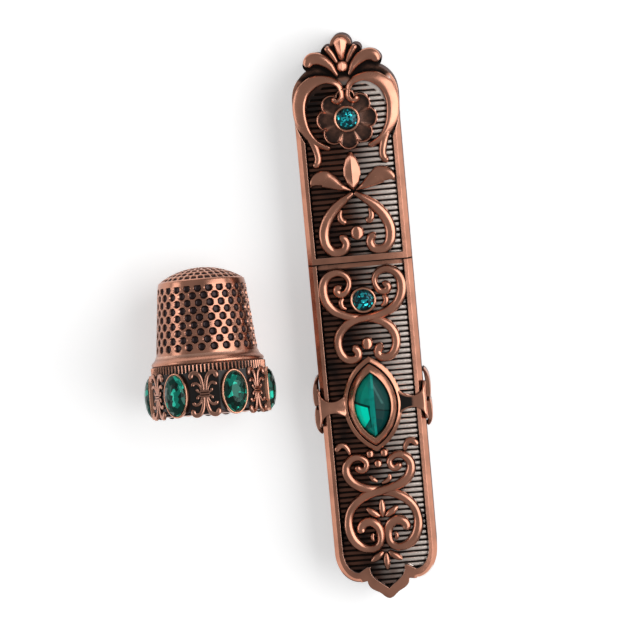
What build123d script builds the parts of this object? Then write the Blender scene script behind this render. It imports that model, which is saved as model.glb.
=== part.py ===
from build123d import *
import math
import os

os.makedirs("parts", exist_ok=True)

# A flat metal needle case with a pull-off cap, and the thimble that matches it.
# The case lies on its flat back with its length along Y and the cap at +Y.
# The thimble lies on its side next to it, mouth towards -Y.
# The origin is on the case's back, half way along the closed case.

# Case shell, in millimetres
BODY_LENGTH = 55.2
CAP_LENGTH = 36.2
CASE_WIDTH = 16.6
CASE_HEIGHT = 8.4
BACK_WALL = 1.1
SIDE_WALL = 1.6
END_WALL = 6.0
CAP_END_WALL = 9.5
FRONT_PLATE = 1.7
RAIL_WIDTH = 1.3
RAIL_BEVEL = 0.7
RAIL_RUN = 22.2
BACK_ROUND = 0.6

# Sunk reeded ground of the front
GROUND_SINK = 0.7
RIB_PITCH = 0.88
RIB_DEPTH = 0.25
RIB_CREST = 0.4
GUTTER = 0.2
MOUTH_STRIP = 0.8
CAP_RAIL = 1.1
ARCH_DROP = 14.2

# Neck that the cap slides on
NECK_GRIP = 10.0
NECK_WALL = 0.45
NECK_ROUND = 1.0
CAP_FIT = 0.04

# Stones and their settings
GEM_FIT = 0.02
ROUND_GEM = 1.65
ROUND_BEZEL = 2.1
ROUND_BEZEL_RISE = 1.15
ROUND_GEM_RISE = 1.3
GIRDLE = 0.9
CROWN_SLOPE = 55
NAVETTE_DROP = 23.1
NAVETTE_LENGTH = 15.6
NAVETTE_WIDTH = 9.5
NAVETTE_GEM_LENGTH = 10.2
NAVETTE_GEM_WIDTH = 5.5
NAVETTE_COLLET = 0.7
NAVETTE_GROOVE = 0.45
NAVETTE_FLANGE_RISE = 1.0
NAVETTE_COLLET_RISE = 1.7
NAVETTE_GEM_RISE = 2.5

# Band that carries the long stone round the case
BAND_NECK = 1.9
BAND_FLARE = 2.9
BAND_THICK = 0.5
LOOP_PROUD = 1.15
LOOP_LENGTH = 9.5
LOOP_DEPTH = 4.6

# Scrollwork in relief
SCROLL_RISE = 0.95
LEAF_RISE = 0.85
BEAD_RISE = 0.95
FLOWER_RIM = 4.95
FLOWER_LOBE = 1.4
FLOWER_RISE = 0.6
FLOWER_FLOOR = 0.2
FLOWER_EDGE = 0.3
FLOWER_FLATS = 8

# Thimble
THIMBLE_X = -25.7
THIMBLE_Y = -13.0
REST_GAP = 0.02
THIMBLE_HEIGHT = 24.0
DOME_RISE = 2.2
TIP_RADIUS = 6.9
WALL_TOP_RADIUS = 7.1
WALL_FOOT_RADIUS = 8.15
WALL_FOOT = 10.2
WALL_TOP = 20.9
SKIRT_RADIUS = 8.2
THIMBLE_WALL = 0.8
DIMPLE_ROWS = 9
DIMPLES_ROUND = 25
DIMPLE_RADIUS = 0.6
DIMPLE_DEPTH = 0.35
DIMPLE_SIDES = 4
DIMPLE_FIRST = 11.15
DIMPLE_PITCH = 1.16
DOME_PITS_ROUND = (25, 18, 11)
DOME_PIT = 0.5
DOME_PIT_DEPTH = 0.28

# Thimble's jewelled collar
COLLAR_RADIUS = 9.1
COLLAR_HEIGHT = 7.2
FLUTE_COUNT = 90
FLUTE_DEPTH = 0.3
FLUTE_HEIGHT = 1.4
RING_HEIGHT = 0.95
RING_RADIUS = 9.12
RING_SLOPE = 0.35
COLLAR_FOOT = 0.3
PANEL_RADIUS = 8.95
STONE_COUNT = 6
STONE_HEIGHT = 3.75
STONE_LENGTH = 6.1
STONE_WIDTH = 4.0
STONE_RIM = 0.32
STONE_RIM_RISE = 1.0
STONE_RISE = 1.65
STONE_SLOPE = 25
OVAL_SIDES = 12
FLEUR_RISE = 0.55
FLEUR_WIRE = 0.26

# Levels and stations that follow from the sizes
JOINT_Y = (BODY_LENGTH - CAP_LENGTH) / 2
TIP_Y = JOINT_Y - BODY_LENGTH
TOP_Y = JOINT_Y + CAP_LENGTH
HALF = CASE_WIDTH / 2
SEAM = CASE_HEIGHT - FRONT_PLATE
GROUND = CASE_HEIGHT - GROUND_SINK
VALLEY = GROUND - RIB_DEPTH
RAIL_INNER = HALF - RAIL_WIDTH
NECK_WIDTH = CASE_WIDTH - 2 * SIDE_WALL
NECK_HEIGHT = SEAM - BACK_WALL
NAVETTE_Y = JOINT_Y - NAVETTE_DROP
BODY_GEM_Y = JOINT_Y - 6.1
CAP_GEM_Y = JOINT_Y + 22.9
ARCH_SPRING = TOP_Y - ARCH_DROP


def ridge(points, widths, rise, turn=34, reach=2.5):
    """Raised scroll, leaf or bead along a curve, with a keel down its middle.

    The half-widths are spread evenly along the curve, and the keel sinks where
    the scroll is thin. A section stands wherever the curve has turned or run on.
    """
    with BuildLine(mode=Mode.PRIVATE) as run:
        Spline(*points)
    curve = run.edges()[0]
    stride = min(reach, curve.length / 3)
    places = [0.0]
    for i in range(1, 300):
        t = i / 300
        turned = (curve % t).get_angle(curve % places[-1]) > turn
        if turned or (curve @ t - curve @ places[-1]).length > stride:
            places.append(t)
    if (curve @ 1 - curve @ places[-1]).length < 0.3 * stride:
        places.pop()
    places.append(1.0)
    sections = []
    for t in places:
        span = t * (len(widths) - 1)
        left = min(int(span), len(widths) - 2)
        half = widths[left] + (widths[left + 1] - widths[left]) * (span - left)
        crest = rise * min(1, 0.25 + half / 0.6)
        point = Vector((curve @ t).X, (curve @ t).Y, GROUND)
        sideways = Vector(0, 0, 1).cross(curve % t)
        with BuildSketch(Plane(point, sideways, curve % t)) as cut:
            with BuildLine():
                Polyline((-half, 0), (0, crest), (half, 0), close=True)
            make_face()
        sections.append(cut.sketch.face())
    loft(sections, ruled=True)


def shifted(points, y):
    """Points of an ornament, moved along the case to its own station."""
    return [(px, py + y) for px, py in points]


# Front outlines: the right half is drawn and mirrored

# Body: ogee tip, side lobe with a rounded corner, straight side up to the joint
with BuildSketch() as body_outline:
    with BuildLine():
        tip = Spline((0, TIP_Y), (0.55, TIP_Y + 0.2), (1.4, TIP_Y + 0.95), (2.6, TIP_Y + 1.65),
                     (3.4, TIP_Y + 3.1))
        lobe = Line(tip @ 1, (4.6, TIP_Y + 2.9))
        EllipticalCenterArc((4.6, TIP_Y + 8), HALF - 4.6, 5.1, start_angle=270, arc_size=90)
        Line((HALF, TIP_Y + 8), (HALF, JOINT_Y))
        Line((HALF, JOINT_Y), (0, JOINT_Y))
        Line((0, JOINT_Y), (0, TIP_Y))
    make_face()
    mirror(about=Plane.YZ)

# Sunk field of the body, inside its rail
with BuildSketch() as body_field:
    with BuildLine():
        Spline((0, TIP_Y + 1.6), (1.4, TIP_Y + 2.75), (2.4, TIP_Y + 3.7), (2.8, TIP_Y + 5.35))
        Line((2.8, TIP_Y + 5.35), (3.3, TIP_Y + 5.35))
        Line((3.3, TIP_Y + 5.35), (4.6, TIP_Y + 4.55))
        EllipticalCenterArc((4.6, TIP_Y + 8.3), RAIL_INNER - 4.6, 3.75, start_angle=270,
                            arc_size=90)
        Line((RAIL_INNER, TIP_Y + 8.3), (RAIL_INNER, JOINT_Y))
        Line((RAIL_INNER, JOINT_Y), (0, JOINT_Y))
        Line((0, JOINT_Y), (0, TIP_Y + 1.6))
    make_face()
    mirror(about=Plane.YZ)

# Cap: straight side, shoulder over the arch, then the lobes of the palmette finial
with BuildSketch() as cap_outline:
    with BuildLine():
        Line((0, JOINT_Y), (HALF, JOINT_Y))
        Line((HALF, JOINT_Y), (HALF, JOINT_Y + RAIL_RUN))
        Spline((HALF, JOINT_Y + RAIL_RUN), (HALF + 0.15, TOP_Y - 10), (HALF - 0.35, TOP_Y - 7.7),
               (6.95, TOP_Y - 6.3), (5.65, TOP_Y - 5.4), tangents=((0, 1), (-1, 0.55)))
        Spline((5.65, TOP_Y - 5.4), (6.25, TOP_Y - 4.3), (5.5, TOP_Y - 3.2), (4.2, TOP_Y - 2.8),
               (3.1, TOP_Y - 3))
        ThreePointArc((3.1, TOP_Y - 3), (2.85, TOP_Y - 1.85), (1.7, TOP_Y - 1.8))
        ThreePointArc((1.7, TOP_Y - 1.8), (1.2, TOP_Y - 0.5), (0, TOP_Y))
        Line((0, TOP_Y), (0, JOINT_Y))
    make_face()
    mirror(about=Plane.YZ)

# Sunk field of the cap, which runs up under the arch
with BuildSketch() as cap_field:
    with BuildLine():
        Line((0, JOINT_Y + CAP_RAIL), (RAIL_INNER, JOINT_Y + CAP_RAIL))
        Line((RAIL_INNER, JOINT_Y + CAP_RAIL), (RAIL_INNER, ARCH_SPRING))
        EllipticalCenterArc((0, ARCH_SPRING), RAIL_INNER, 7, start_angle=0, arc_size=90)
        Line((0, ARCH_SPRING + 7), (0, JOINT_Y + CAP_RAIL))
    make_face()
    mirror(about=Plane.YZ)

# Rails of the cap: both sides end in a point where the arch swings outward
with BuildSketch() as cap_rails:
    with BuildLine():
        Line((0, JOINT_Y), (HALF, JOINT_Y))
        Line((HALF, JOINT_Y), (HALF, TOP_Y - 13.3))
        Spline((HALF, TOP_Y - 13.3), (7.75, TOP_Y - 14.9), (RAIL_INNER, TOP_Y - 16.6))
        Line((RAIL_INNER, TOP_Y - 16.6), (RAIL_INNER, JOINT_Y + CAP_RAIL))
        Line((RAIL_INNER, JOINT_Y + CAP_RAIL), (0, JOINT_Y + CAP_RAIL))
        Line((0, JOINT_Y + CAP_RAIL), (0, JOINT_Y))
    make_face()
    mirror(about=Plane.YZ)


def sink_field(field, foot, start, end, top):
    """Sink a field into the plate at hand, ribbed from foot to top between gutters."""
    with BuildSketch(Plane.XY.offset(GROUND)) as whole:
        add(field.sketch)
    extrude(whole.sketch, amount=FRONT_PLATE, mode=Mode.SUBTRACT)
    with BuildSketch(Plane.XY.offset(VALLEY)) as gutters:
        with Locations((0, (start + end) / 2)):
            with GridLocations(2 * RAIL_INNER - GUTTER, 0, 2, 1):
                Rectangle(GUTTER, end - start)
    extrude(gutters.sketch, amount=FRONT_PLATE, mode=Mode.SUBTRACT)
    half_width = (RIB_PITCH - RIB_CREST) / 2
    with BuildSketch(Plane.YZ.offset(-HALF)) as notches:
        for i in range(math.floor((top - foot) / RIB_PITCH + 0.001)):
            middle = foot + (i + 0.5) * RIB_PITCH
            with BuildLine():
                Polyline((middle - half_width, GROUND), (middle, VALLEY),
                         (middle + half_width, GROUND), close=True)
            make_face()
    inside = extrude(whole.sketch, amount=-RIB_DEPTH, mode=Mode.PRIVATE)
    bars = extrude(notches.sketch, amount=CASE_WIDTH, mode=Mode.PRIVATE)
    add(bars & inside, mode=Mode.SUBTRACT)


def write(piece, name):
    """Label a finished piece and write its file."""
    piece.label = name
    export_step(piece, f"parts/{name}.step")


# Body back shell: an open tray that holds the needles, rounded along its back edge
with BuildPart() as body_back_shell:
    with BuildSketch():
        add(body_outline.sketch)
    extrude(amount=SEAM)
    back = body_back_shell.faces().sort_by(Axis.Z)[0]
    long_sides = back.edges().filter_by(Axis.Y)
    chamfer(long_sides, BACK_ROUND)
    with BuildSketch(Plane.XY.offset(BACK_WALL)):
        with Locations((0, (TIP_Y + END_WALL + JOINT_Y) / 2)):
            Rectangle(NECK_WIDTH, BODY_LENGTH - END_WALL)
    extrude(amount=SEAM, mode=Mode.SUBTRACT)
    with BuildSketch():
        with Locations((0, NAVETTE_Y)):
            Rectangle(CASE_WIDTH, BAND_NECK)
    extrude(amount=BAND_THICK, mode=Mode.SUBTRACT)
write(body_back_shell.part, "body_back_shell")

# Body front plate: reeded field sunk inside a bevelled rail
with BuildPart() as body_front_plate:
    with BuildSketch(Plane.XY.offset(SEAM)):
        add(body_outline.sketch)
    extrude(amount=FRONT_PLATE)
    crest = body_front_plate.faces().sort_by(Axis.Z)[-1]
    outer = crest.edges().filter_by(Axis.Y) + crest.edges().filter_by(GeomType.ELLIPSE)
    chamfer(outer, RAIL_BEVEL)
    mouth = JOINT_Y - MOUTH_STRIP
    lowest_rib = mouth - RIB_PITCH * math.ceil((mouth - TIP_Y - 1.6) / RIB_PITCH)
    sink_field(body_field, lowest_rib, TIP_Y + 9, mouth, mouth)
write(body_front_plate.part, "body_front_plate")

# Neck sleeve: thin-walled tube held in the body, standing out for the cap
with BuildPart() as neck_sleeve:
    with BuildSketch(Plane.XZ.offset(-JOINT_Y + NECK_GRIP)):
        with Locations((0, BACK_WALL + NECK_HEIGHT / 2)):
            RectangleRounded(NECK_WIDTH, NECK_HEIGHT, NECK_ROUND)
            RectangleRounded(NECK_WIDTH - 2 * NECK_WALL, NECK_HEIGHT - 2 * NECK_WALL,
                             NECK_ROUND - NECK_WALL, mode=Mode.SUBTRACT)
    extrude(amount=-2 * NECK_GRIP)
write(neck_sleeve.part, "neck_sleeve")

# Cap back shell: the same tray, closed at the finial end
with BuildPart() as cap_back_shell:
    with BuildSketch():
        add(cap_outline.sketch)
    extrude(amount=SEAM + CAP_FIT)
    with BuildSketch(Plane.XZ.offset(-JOINT_Y)):
        for side in (-HALF, HALF):
            with BuildLine():
                Polyline((side, 0), (side, BACK_ROUND), (side - math.copysign(BACK_ROUND, side), 0),
                         close=True)
            make_face()
    extrude(amount=-RAIL_RUN, mode=Mode.SUBTRACT)
    with BuildSketch(Plane.XY.offset(BACK_WALL - CAP_FIT)):
        with Locations((0, (JOINT_Y + TOP_Y - CAP_END_WALL) / 2)):
            Rectangle(NECK_WIDTH + 2 * CAP_FIT, CAP_LENGTH - CAP_END_WALL)
    extrude(amount=SEAM, mode=Mode.SUBTRACT)
write(cap_back_shell.part, "cap_back_shell")

# Cap front plate: ground for the finial and the arch, reeded field, rails and mouth bar
with BuildPart() as cap_front_plate:
    with BuildSketch(Plane.XY.offset(SEAM + CAP_FIT)):
        add(cap_rails.sketch)
    extrude(amount=FRONT_PLATE - CAP_FIT)
    crest = cap_front_plate.faces().sort_by(Axis.Z)[-1]
    sides = crest.edges().filter_by(Axis.Y).group_by(SortBy.LENGTH)[-1]
    chamfer(sides, RAIL_BEVEL)
    with BuildSketch(Plane.XY.offset(SEAM + CAP_FIT)):
        add(cap_outline.sketch)
    extrude(amount=GROUND - SEAM - CAP_FIT)
    sink_field(cap_field, JOINT_Y + CAP_RAIL, JOINT_Y + CAP_RAIL, ARCH_SPRING, TOP_Y - 7.4)
write(cap_front_plate.part, "cap_front_plate")

# Arch scroll of the cap: curls in over the stone, sweeps round the shoulder as
# the cap's edge, and ends in a tail and a foot
ARCH = [(2, -9.7), (1.7, -10.4), (1.05, -10.6), (0.52, -9.9), (0.5, -9.1), (0.85, -8), (1.9, -7.1),
        (3.3, -6.85), (5, -7.2), (6.5, -8.4), (7.25, -10.1), (7.4, -11.9), (7.1, -13.8),
        (6.4, -15.4), (5.4, -16.6), (4.2, -17.4), (3, -17.9)]
ARCH_WIDTHS = [0.25, 0.4, 0.45, 0.6, 0.95, 1, 0.95, 0.85, 0.65, 0.6, 0.3]
FOOT = [(5.75, -16.7), (5.25, -18.1), (5.1, -19.4), (5.5, -20.1), (6.2, -20)]
FOOT_WIDTHS = [0.55, 0.6, 0.6, 0.5, 0.3]
with BuildPart() as arch_scroll_right:
    ridge(shifted(ARCH, TOP_Y), ARCH_WIDTHS, SCROLL_RISE)
    ridge(shifted(FOOT, TOP_Y), FOOT_WIDTHS, 0.9 * SCROLL_RISE)
arch_scroll_left = mirror(arch_scroll_right.part, about=Plane.YZ)
write(arch_scroll_right.part, "arch_scroll_right")
write(arch_scroll_left, "arch_scroll_left")

# Palmette finial: centre petal, two small petals and two big curled leaves
with BuildPart() as finial_palmette:
    ridge(shifted([(0, -3.9), (0, -2), (0, -0.35)], TOP_Y), [0.35, 0.8, 0.85, 0.6, 0.12], LEAF_RISE)
    for side in (-1, 1):
        small = [(0.95, -4.1), (1.6, -2.9), (2.45, -1.95)]
        big = [(1.25, -6), (2.1, -4.7), (3.5, -3.65), (5, -3.6), (5.75, -4.5)]
        ridge(shifted([(side * x, y) for x, y in small], TOP_Y), [0.15, 0.42, 0.5, 0.3], LEAF_RISE)
        ridge(shifted([(side * x, y) for x, y in big], TOP_Y), [0.15, 0.55, 0.7, 0.75, 0.5],
              LEAF_RISE)
write(finial_palmette.part, "finial_palmette")

with BuildPart() as finial_bead:
    ridge(shifted([(0, -5.9), (0, -5), (0, -4.1)], TOP_Y), [0.3, 0.75, 0.85, 0.75, 0.3], BEAD_RISE)
write(finial_bead.part, "finial_bead")

# Flower round the cap's stone: scalloped rim of eight lobes, dished inside
LOBE_PLACE = FLOWER_RIM - FLOWER_LOBE
with BuildPart() as cap_flower:
    with BuildSketch(Plane.XY.offset(GROUND)):
        with Locations((0, CAP_GEM_Y)):
            Circle(LOBE_PLACE)
            with PolarLocations(LOBE_PLACE, 8):
                RegularPolygon(FLOWER_LOBE, FLOWER_FLATS)
            Circle(ROUND_BEZEL, mode=Mode.SUBTRACT)
    extrude(amount=FLOWER_RISE)
    with BuildSketch(Plane.XY.offset(GROUND + FLOWER_FLOOR)):
        with Locations((0, CAP_GEM_Y)):
            Circle(LOBE_PLACE - FLOWER_EDGE)
            with PolarLocations(LOBE_PLACE, 8):
                RegularPolygon(FLOWER_LOBE - FLOWER_EDGE, FLOWER_FLATS)
    extrude(amount=FLOWER_RISE, mode=Mode.SUBTRACT)
    add(arch_scroll_right.part, mode=Mode.SUBTRACT)
    add(arch_scroll_left, mode=Mode.SUBTRACT)
write(cap_flower.part, "cap_flower")


def round_setting(y, prefix):
    """Round stone in a plain rubbed-over collet, standing on the reeded ground."""
    with BuildPart() as bezel:
        with BuildSketch(Plane.XZ.offset(-y)):
            with BuildLine():
                Polyline((ROUND_GEM + GEM_FIT, GROUND), (ROUND_BEZEL, GROUND),
                         (ROUND_BEZEL, GROUND + ROUND_BEZEL_RISE - 0.25),
                         (ROUND_BEZEL - 0.2, GROUND + ROUND_BEZEL_RISE),
                         (ROUND_GEM + GEM_FIT, GROUND + ROUND_BEZEL_RISE), close=True)
            make_face()
        revolve(axis=Axis((0, y, 0), (0, 0, 1)))
    write(bezel.part, f"{prefix}_round_bezel")
    with BuildPart() as gem:
        with BuildSketch(Plane.XY.offset(GROUND)):
            with Locations((0, y)):
                RegularPolygon(ROUND_GEM, 16)
        extrude(amount=GIRDLE)
        extrude(gem.faces().sort_by(Axis.Z)[-1], amount=ROUND_GEM_RISE - GIRDLE, taper=CROWN_SLOPE)
    write(gem.part, f"{prefix}_round_gem")


round_setting(CAP_GEM_Y, "cap")
round_setting(BODY_GEM_Y, "body")

# Bud and its two spreading leaves, above the heart
with BuildPart() as bud_leaf:
    ridge(shifted([(0, 17.75), (0, 15.1), (0, 11.55)], JOINT_Y), [0.12, 1, 1.45, 1.35, 0.9, 0.2],
          LEAF_RISE)
write(bud_leaf.part, "bud_leaf")

SPREAD = [(0.5, 11.75), (1.9, 12.65), (3.5, 13.45), (5.1, 13.65), (6.4, 13.1)]
with BuildPart() as side_leaves:
    for side in (-1, 1):
        ridge(shifted([(side * x, y) for x, y in SPREAD], JOINT_Y), [0.12, 0.7, 1.2, 1.3, 0.45],
              LEAF_RISE)
write(side_leaves.part, "side_leaves")

# Heart: two scrolls that spring from the node under the bud and curl in at the foot
HEART = [(-0.3, 11.05), (1.6, 10), (3.2, 8.8), (4.6, 7), (5.3, 5.1), (5.15, 3.2), (4.3, 1.95),
         (3.2, 1.78), (2.2, 2.1), (1.85, 3.1), (2.35, 3.95), (2.9, 4)]
HEART_WIDTHS = [0.4, 0.6, 0.8, 0.9, 0.85, 0.75, 0.65, 0.6, 0.45]
with BuildPart() as heart_scroll_right:
    ridge(shifted(HEART, JOINT_Y), HEART_WIDTHS, SCROLL_RISE)
    split(bisect_by=Plane.YZ, keep=Keep.TOP)
heart_scroll_left = mirror(heart_scroll_right.part, about=Plane.YZ)
write(heart_scroll_right.part, "heart_scroll_right")
write(heart_scroll_left, "heart_scroll_left")

with BuildPart() as heart_curls:
    for side in (-1, 1):
        curl = [(2.3, 8.3), (2.55, 7.4), (2.2, 6.7), (1.5, 6.4)]
        ridge(shifted([(side * x, y) for x, y in curl], JOINT_Y), [0.15, 0.42, 0.45, 0.3],
              0.8 * SCROLL_RISE)
write(heart_curls.part, "heart_curls")

with BuildPart() as heart_bead:
    ridge(shifted([(0, 3.5), (0, 4.7), (0, 5.9)], JOINT_Y), [0.4, 0.95, 1.1, 0.95, 0.4], BEAD_RISE)
write(heart_bead.part, "heart_bead")

# Upper ornament of the body: two S scrolls that cross under the round stone
UPPER_S = [(3.55, 2.7), (4.05, 1.9), (3.5, 1.15), (2.7, 1.5), (2.15, 2.3), (2.05, 3.3), (2.7, 4.3),
           (3.95, 4.65), (5.3, 4.2), (6.15, 3), (6.3, 1.4), (5.85, -0.2), (4.8, -1.5),
           (3.3, -2.3), (1.7, -2.75), (0, -2.95), (-1.85, -3.3), (-3.4, -4.2), (-4.4, -5.5),
           (-4.7, -6.9), (-4.4, -8.3), (-3.65, -9.3), (-2.65, -9.6), (-1.8, -9.3), (-1.55, -8.5),
           (-1.95, -7.85), (-2.5, -7.65)]
UPPER_WIDTHS = [0.3, 0.45, 0.5, 0.6, 0.65, 0.7, 0.7, 0.62, 0.6, 0.65, 0.7, 0.65, 0.6, 0.5, 0.35]
with BuildPart() as upper_scroll_over:
    ridge(shifted(UPPER_S, BODY_GEM_Y), UPPER_WIDTHS, SCROLL_RISE)
write(upper_scroll_over.part, "upper_scroll_over")

with BuildPart() as upper_scroll_under:
    add(mirror(upper_scroll_over.part, about=Plane.YZ))
    add(upper_scroll_over.part, mode=Mode.SUBTRACT)
write(upper_scroll_under.part, "upper_scroll_under")

with BuildPart() as gem_leaves:
    for side in (-1, 1):
        leaf = [(3.2, 0.45), (3.65, -0.2), (3.35, -0.95), (2.8, -1.25)]
        ridge(shifted([(side * x, y) for x, y in leaf], BODY_GEM_Y), [0.15, 0.38, 0.3, 0.12],
              0.8 * SCROLL_RISE)
write(gem_leaves.part, "gem_leaves")

with BuildPart() as body_drop_bead:
    ridge(shifted([(0, -8.15), (0, -7.1), (0, -6.05)], BODY_GEM_Y), [0.35, 0.8, 0.9, 0.8, 0.35],
          BEAD_RISE)
write(body_drop_bead.part, "body_drop_bead")

# Lower ornament of the body: two larger S scrolls that close into a round cartouche
LOWER_S = [(3.4, 22.2), (3.05, 21.45), (2.25, 21.35), (1.8, 22.1), (2.1, 23.05),
           (3.1, 23.55), (4.4, 23.2), (5.2, 22), (5.15, 20.6), (4.4, 19.5), (3.25, 18.7),
           (1.8, 18.2), (0, 17.8), (-2.1, 17.3), (-3.85, 16.3), (-5.15, 14.8), (-5.65, 13),
           (-5.5, 11.2), (-4.75, 9.6), (-3.45, 8.55), (-1.95, 8.35), (-0.9, 9.1), (-0.58, 10.5),
           (-0.9, 11.9), (-1.9, 12.75), (-3, 12.65), (-3.65, 11.9), (-3.45, 11)]
LOWER_WIDTHS = [0.3, 0.4, 0.55, 0.7, 0.7, 0.65, 0.65, 0.7, 0.7, 0.68, 0.68, 0.75, 0.7, 0.52, 0.52,
                0.6, 0.6, 0.4]
with BuildPart() as lower_scroll_over:
    ridge(shifted(LOWER_S, TIP_Y), LOWER_WIDTHS, SCROLL_RISE)
write(lower_scroll_over.part, "lower_scroll_over")

with BuildPart() as lower_scroll_under:
    add(mirror(lower_scroll_over.part, about=Plane.YZ))
    add(lower_scroll_over.part, mode=Mode.SUBTRACT)
write(lower_scroll_under.part, "lower_scroll_under")

# Small pieces set in and round the lower scrolls
HOOK = [(4.75, 24.45), (4.7, 25.1), (5.15, 25.65), (5.85, 25.7), (6.4, 25.2), (6.35, 24.6)]
with BuildPart() as hook_curls:
    for side in (-1, 1):
        ridge(shifted([(side * x, y) for x, y in HOOK], TIP_Y), [0.2, 0.32, 0.38, 0.42, 0.42, 0.3],
              0.8 * SCROLL_RISE)
write(hook_curls.part, "hook_curls")

with BuildPart() as three_beads:
    for x, y in ((-1.15, 24.0), (1.15, 24.0), (0, 22.3)):
        ridge(shifted([(x, y - 0.72), (x, y), (x, y + 0.72)], TIP_Y), [0.2, 0.5, 0.58, 0.5, 0.2],
              0.8 * BEAD_RISE)
write(three_beads.part, "three_beads")

with BuildPart() as tendrils:
    ridge(shifted([(1.55, 20.4), (1.6, 19.85), (1.15, 19.4), (0.35, 19.1)], TIP_Y),
          [0.15, 0.28, 0.28, 0.12], 0.7 * SCROLL_RISE)
    ridge(shifted([(-1.5, 20.35), (-1, 19.75), (-0.35, 19.35)], TIP_Y), [0.15, 0.32, 0.12],
          0.7 * SCROLL_RISE)
write(tendrils.part, "tendrils")

with BuildPart() as cartouche_petals:
    ridge(shifted([(0, 13.4), (0, 14.9), (0, 16.4)], TIP_Y), [0.12, 0.42, 0.5, 0.35, 0.1],
          0.8 * LEAF_RISE)
    for side in (-1, 1):
        petal = [(0.5, 13.55), (1.5, 14.25), (2.55, 15.05)]
        ridge(shifted([(side * x, y) for x, y in petal], TIP_Y), [0.12, 0.42, 0.5, 0.25],
              0.8 * LEAF_RISE)
write(cartouche_petals.part, "cartouche_petals")

with BuildPart() as foot_petals:
    ridge(shifted([(0, 7.55), (0, 6.2), (0, 4.7)], TIP_Y), [0.12, 0.42, 0.5, 0.35, 0.1],
          0.8 * LEAF_RISE)
    for side in (-1, 1):
        petal = [(0.4, 7.75), (1.4, 6.95), (2.55, 6.2)]
        ridge(shifted([(side * x, y) for x, y in petal], TIP_Y), [0.12, 0.42, 0.5, 0.2],
              0.8 * LEAF_RISE)
    add(lower_scroll_over.part, mode=Mode.SUBTRACT)
    add(lower_scroll_under.part, mode=Mode.SUBTRACT)
write(foot_petals.part, "foot_petals")

with BuildPart() as inner_crescents:
    for side in (-1, 1):
        crescent = [(1.75, 10.8), (2.0, 10.15), (1.85, 9.5)]
        ridge(shifted([(side * x, y) for x, y in crescent], TIP_Y), [0.12, 0.25, 0.2, 0.12],
              0.7 * SCROLL_RISE)
write(inner_crescents.part, "inner_crescents")


def navette(length, width):
    """Pointed oval of two equal arcs, on the station of the long stone."""
    tip, side = length / 2, width / 2
    with BuildLine() as rim:
        ThreePointArc((0, NAVETTE_Y - tip), (side, NAVETTE_Y), (0, NAVETTE_Y + tip))
        ThreePointArc((0, NAVETTE_Y + tip), (-side, NAVETTE_Y), (0, NAVETTE_Y - tip))
    make_face(rim.edges())


# Long stone's setting: wide flange, a groove, and the collet that grips the stone
COLLET_LENGTH = NAVETTE_GEM_LENGTH + 2 * NAVETTE_COLLET * NAVETTE_GEM_LENGTH / NAVETTE_GEM_WIDTH
COLLET_WIDTH = NAVETTE_GEM_WIDTH + 2 * NAVETTE_COLLET
GROOVE_LENGTH = COLLET_LENGTH + 2 * NAVETTE_GROOVE * NAVETTE_GEM_LENGTH / NAVETTE_GEM_WIDTH
GROOVE_WIDTH = COLLET_WIDTH + 2 * NAVETTE_GROOVE
with BuildPart() as navette_bezel:
    with BuildSketch(Plane.XY.offset(GROUND)):
        navette(NAVETTE_LENGTH, NAVETTE_WIDTH)
    extrude(amount=NAVETTE_FLANGE_RISE)
    chamfer(navette_bezel.faces().sort_by(Axis.Z)[-1].edges(), 0.25)
    with BuildSketch(Plane.XY.offset(GROUND + 0.5 * NAVETTE_FLANGE_RISE)):
        navette(GROOVE_LENGTH, GROOVE_WIDTH)
    extrude(amount=NAVETTE_FLANGE_RISE, mode=Mode.SUBTRACT)
    with BuildSketch(Plane.XY.offset(GROUND + 0.5 * NAVETTE_FLANGE_RISE)) as collet_foot:
        navette(COLLET_LENGTH, COLLET_WIDTH)
    extrude(amount=NAVETTE_COLLET_RISE - 0.5 * NAVETTE_FLANGE_RISE)
    chamfer(navette_bezel.faces().sort_by(Axis.Z)[-1].edges(), 0.3)
    with BuildSketch(Plane.XY.offset(GROUND)):
        navette(NAVETTE_GEM_LENGTH + 2 * GEM_FIT, NAVETTE_GEM_WIDTH + 2 * GEM_FIT)
    extrude(amount=2 * NAVETTE_COLLET_RISE, mode=Mode.SUBTRACT)
write(navette_bezel.part, "navette_bezel")

# Long stone: pointed oval with a keel along it and four broad sloping facets
with BuildPart() as navette_gem:
    with BuildSketch(Plane.XY.offset(GROUND)):
        navette(NAVETTE_GEM_LENGTH, NAVETTE_GEM_WIDTH)
    extrude(amount=NAVETTE_GEM_RISE)
    crown = GROUND + NAVETTE_GEM_RISE
    drop = NAVETTE_GEM_RISE - NAVETTE_COLLET_RISE + 0.3
    peak = Vector(0, NAVETTE_Y, crown)
    for side in (-1, 1):
        for end in (-1, 1):
            edge_point = Vector(side * NAVETTE_GEM_WIDTH / 2, NAVETTE_Y, crown - drop)
            end_point = Vector(0, NAVETTE_Y + end * NAVETTE_GEM_LENGTH / 2, crown - 0.4 * drop)
            facet = (edge_point - peak).cross(end_point - peak) * (side * end)
            split(bisect_by=Plane(peak, z_dir=facet), keep=Keep.BOTTOM)
write(navette_gem.part, "navette_gem")

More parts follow.
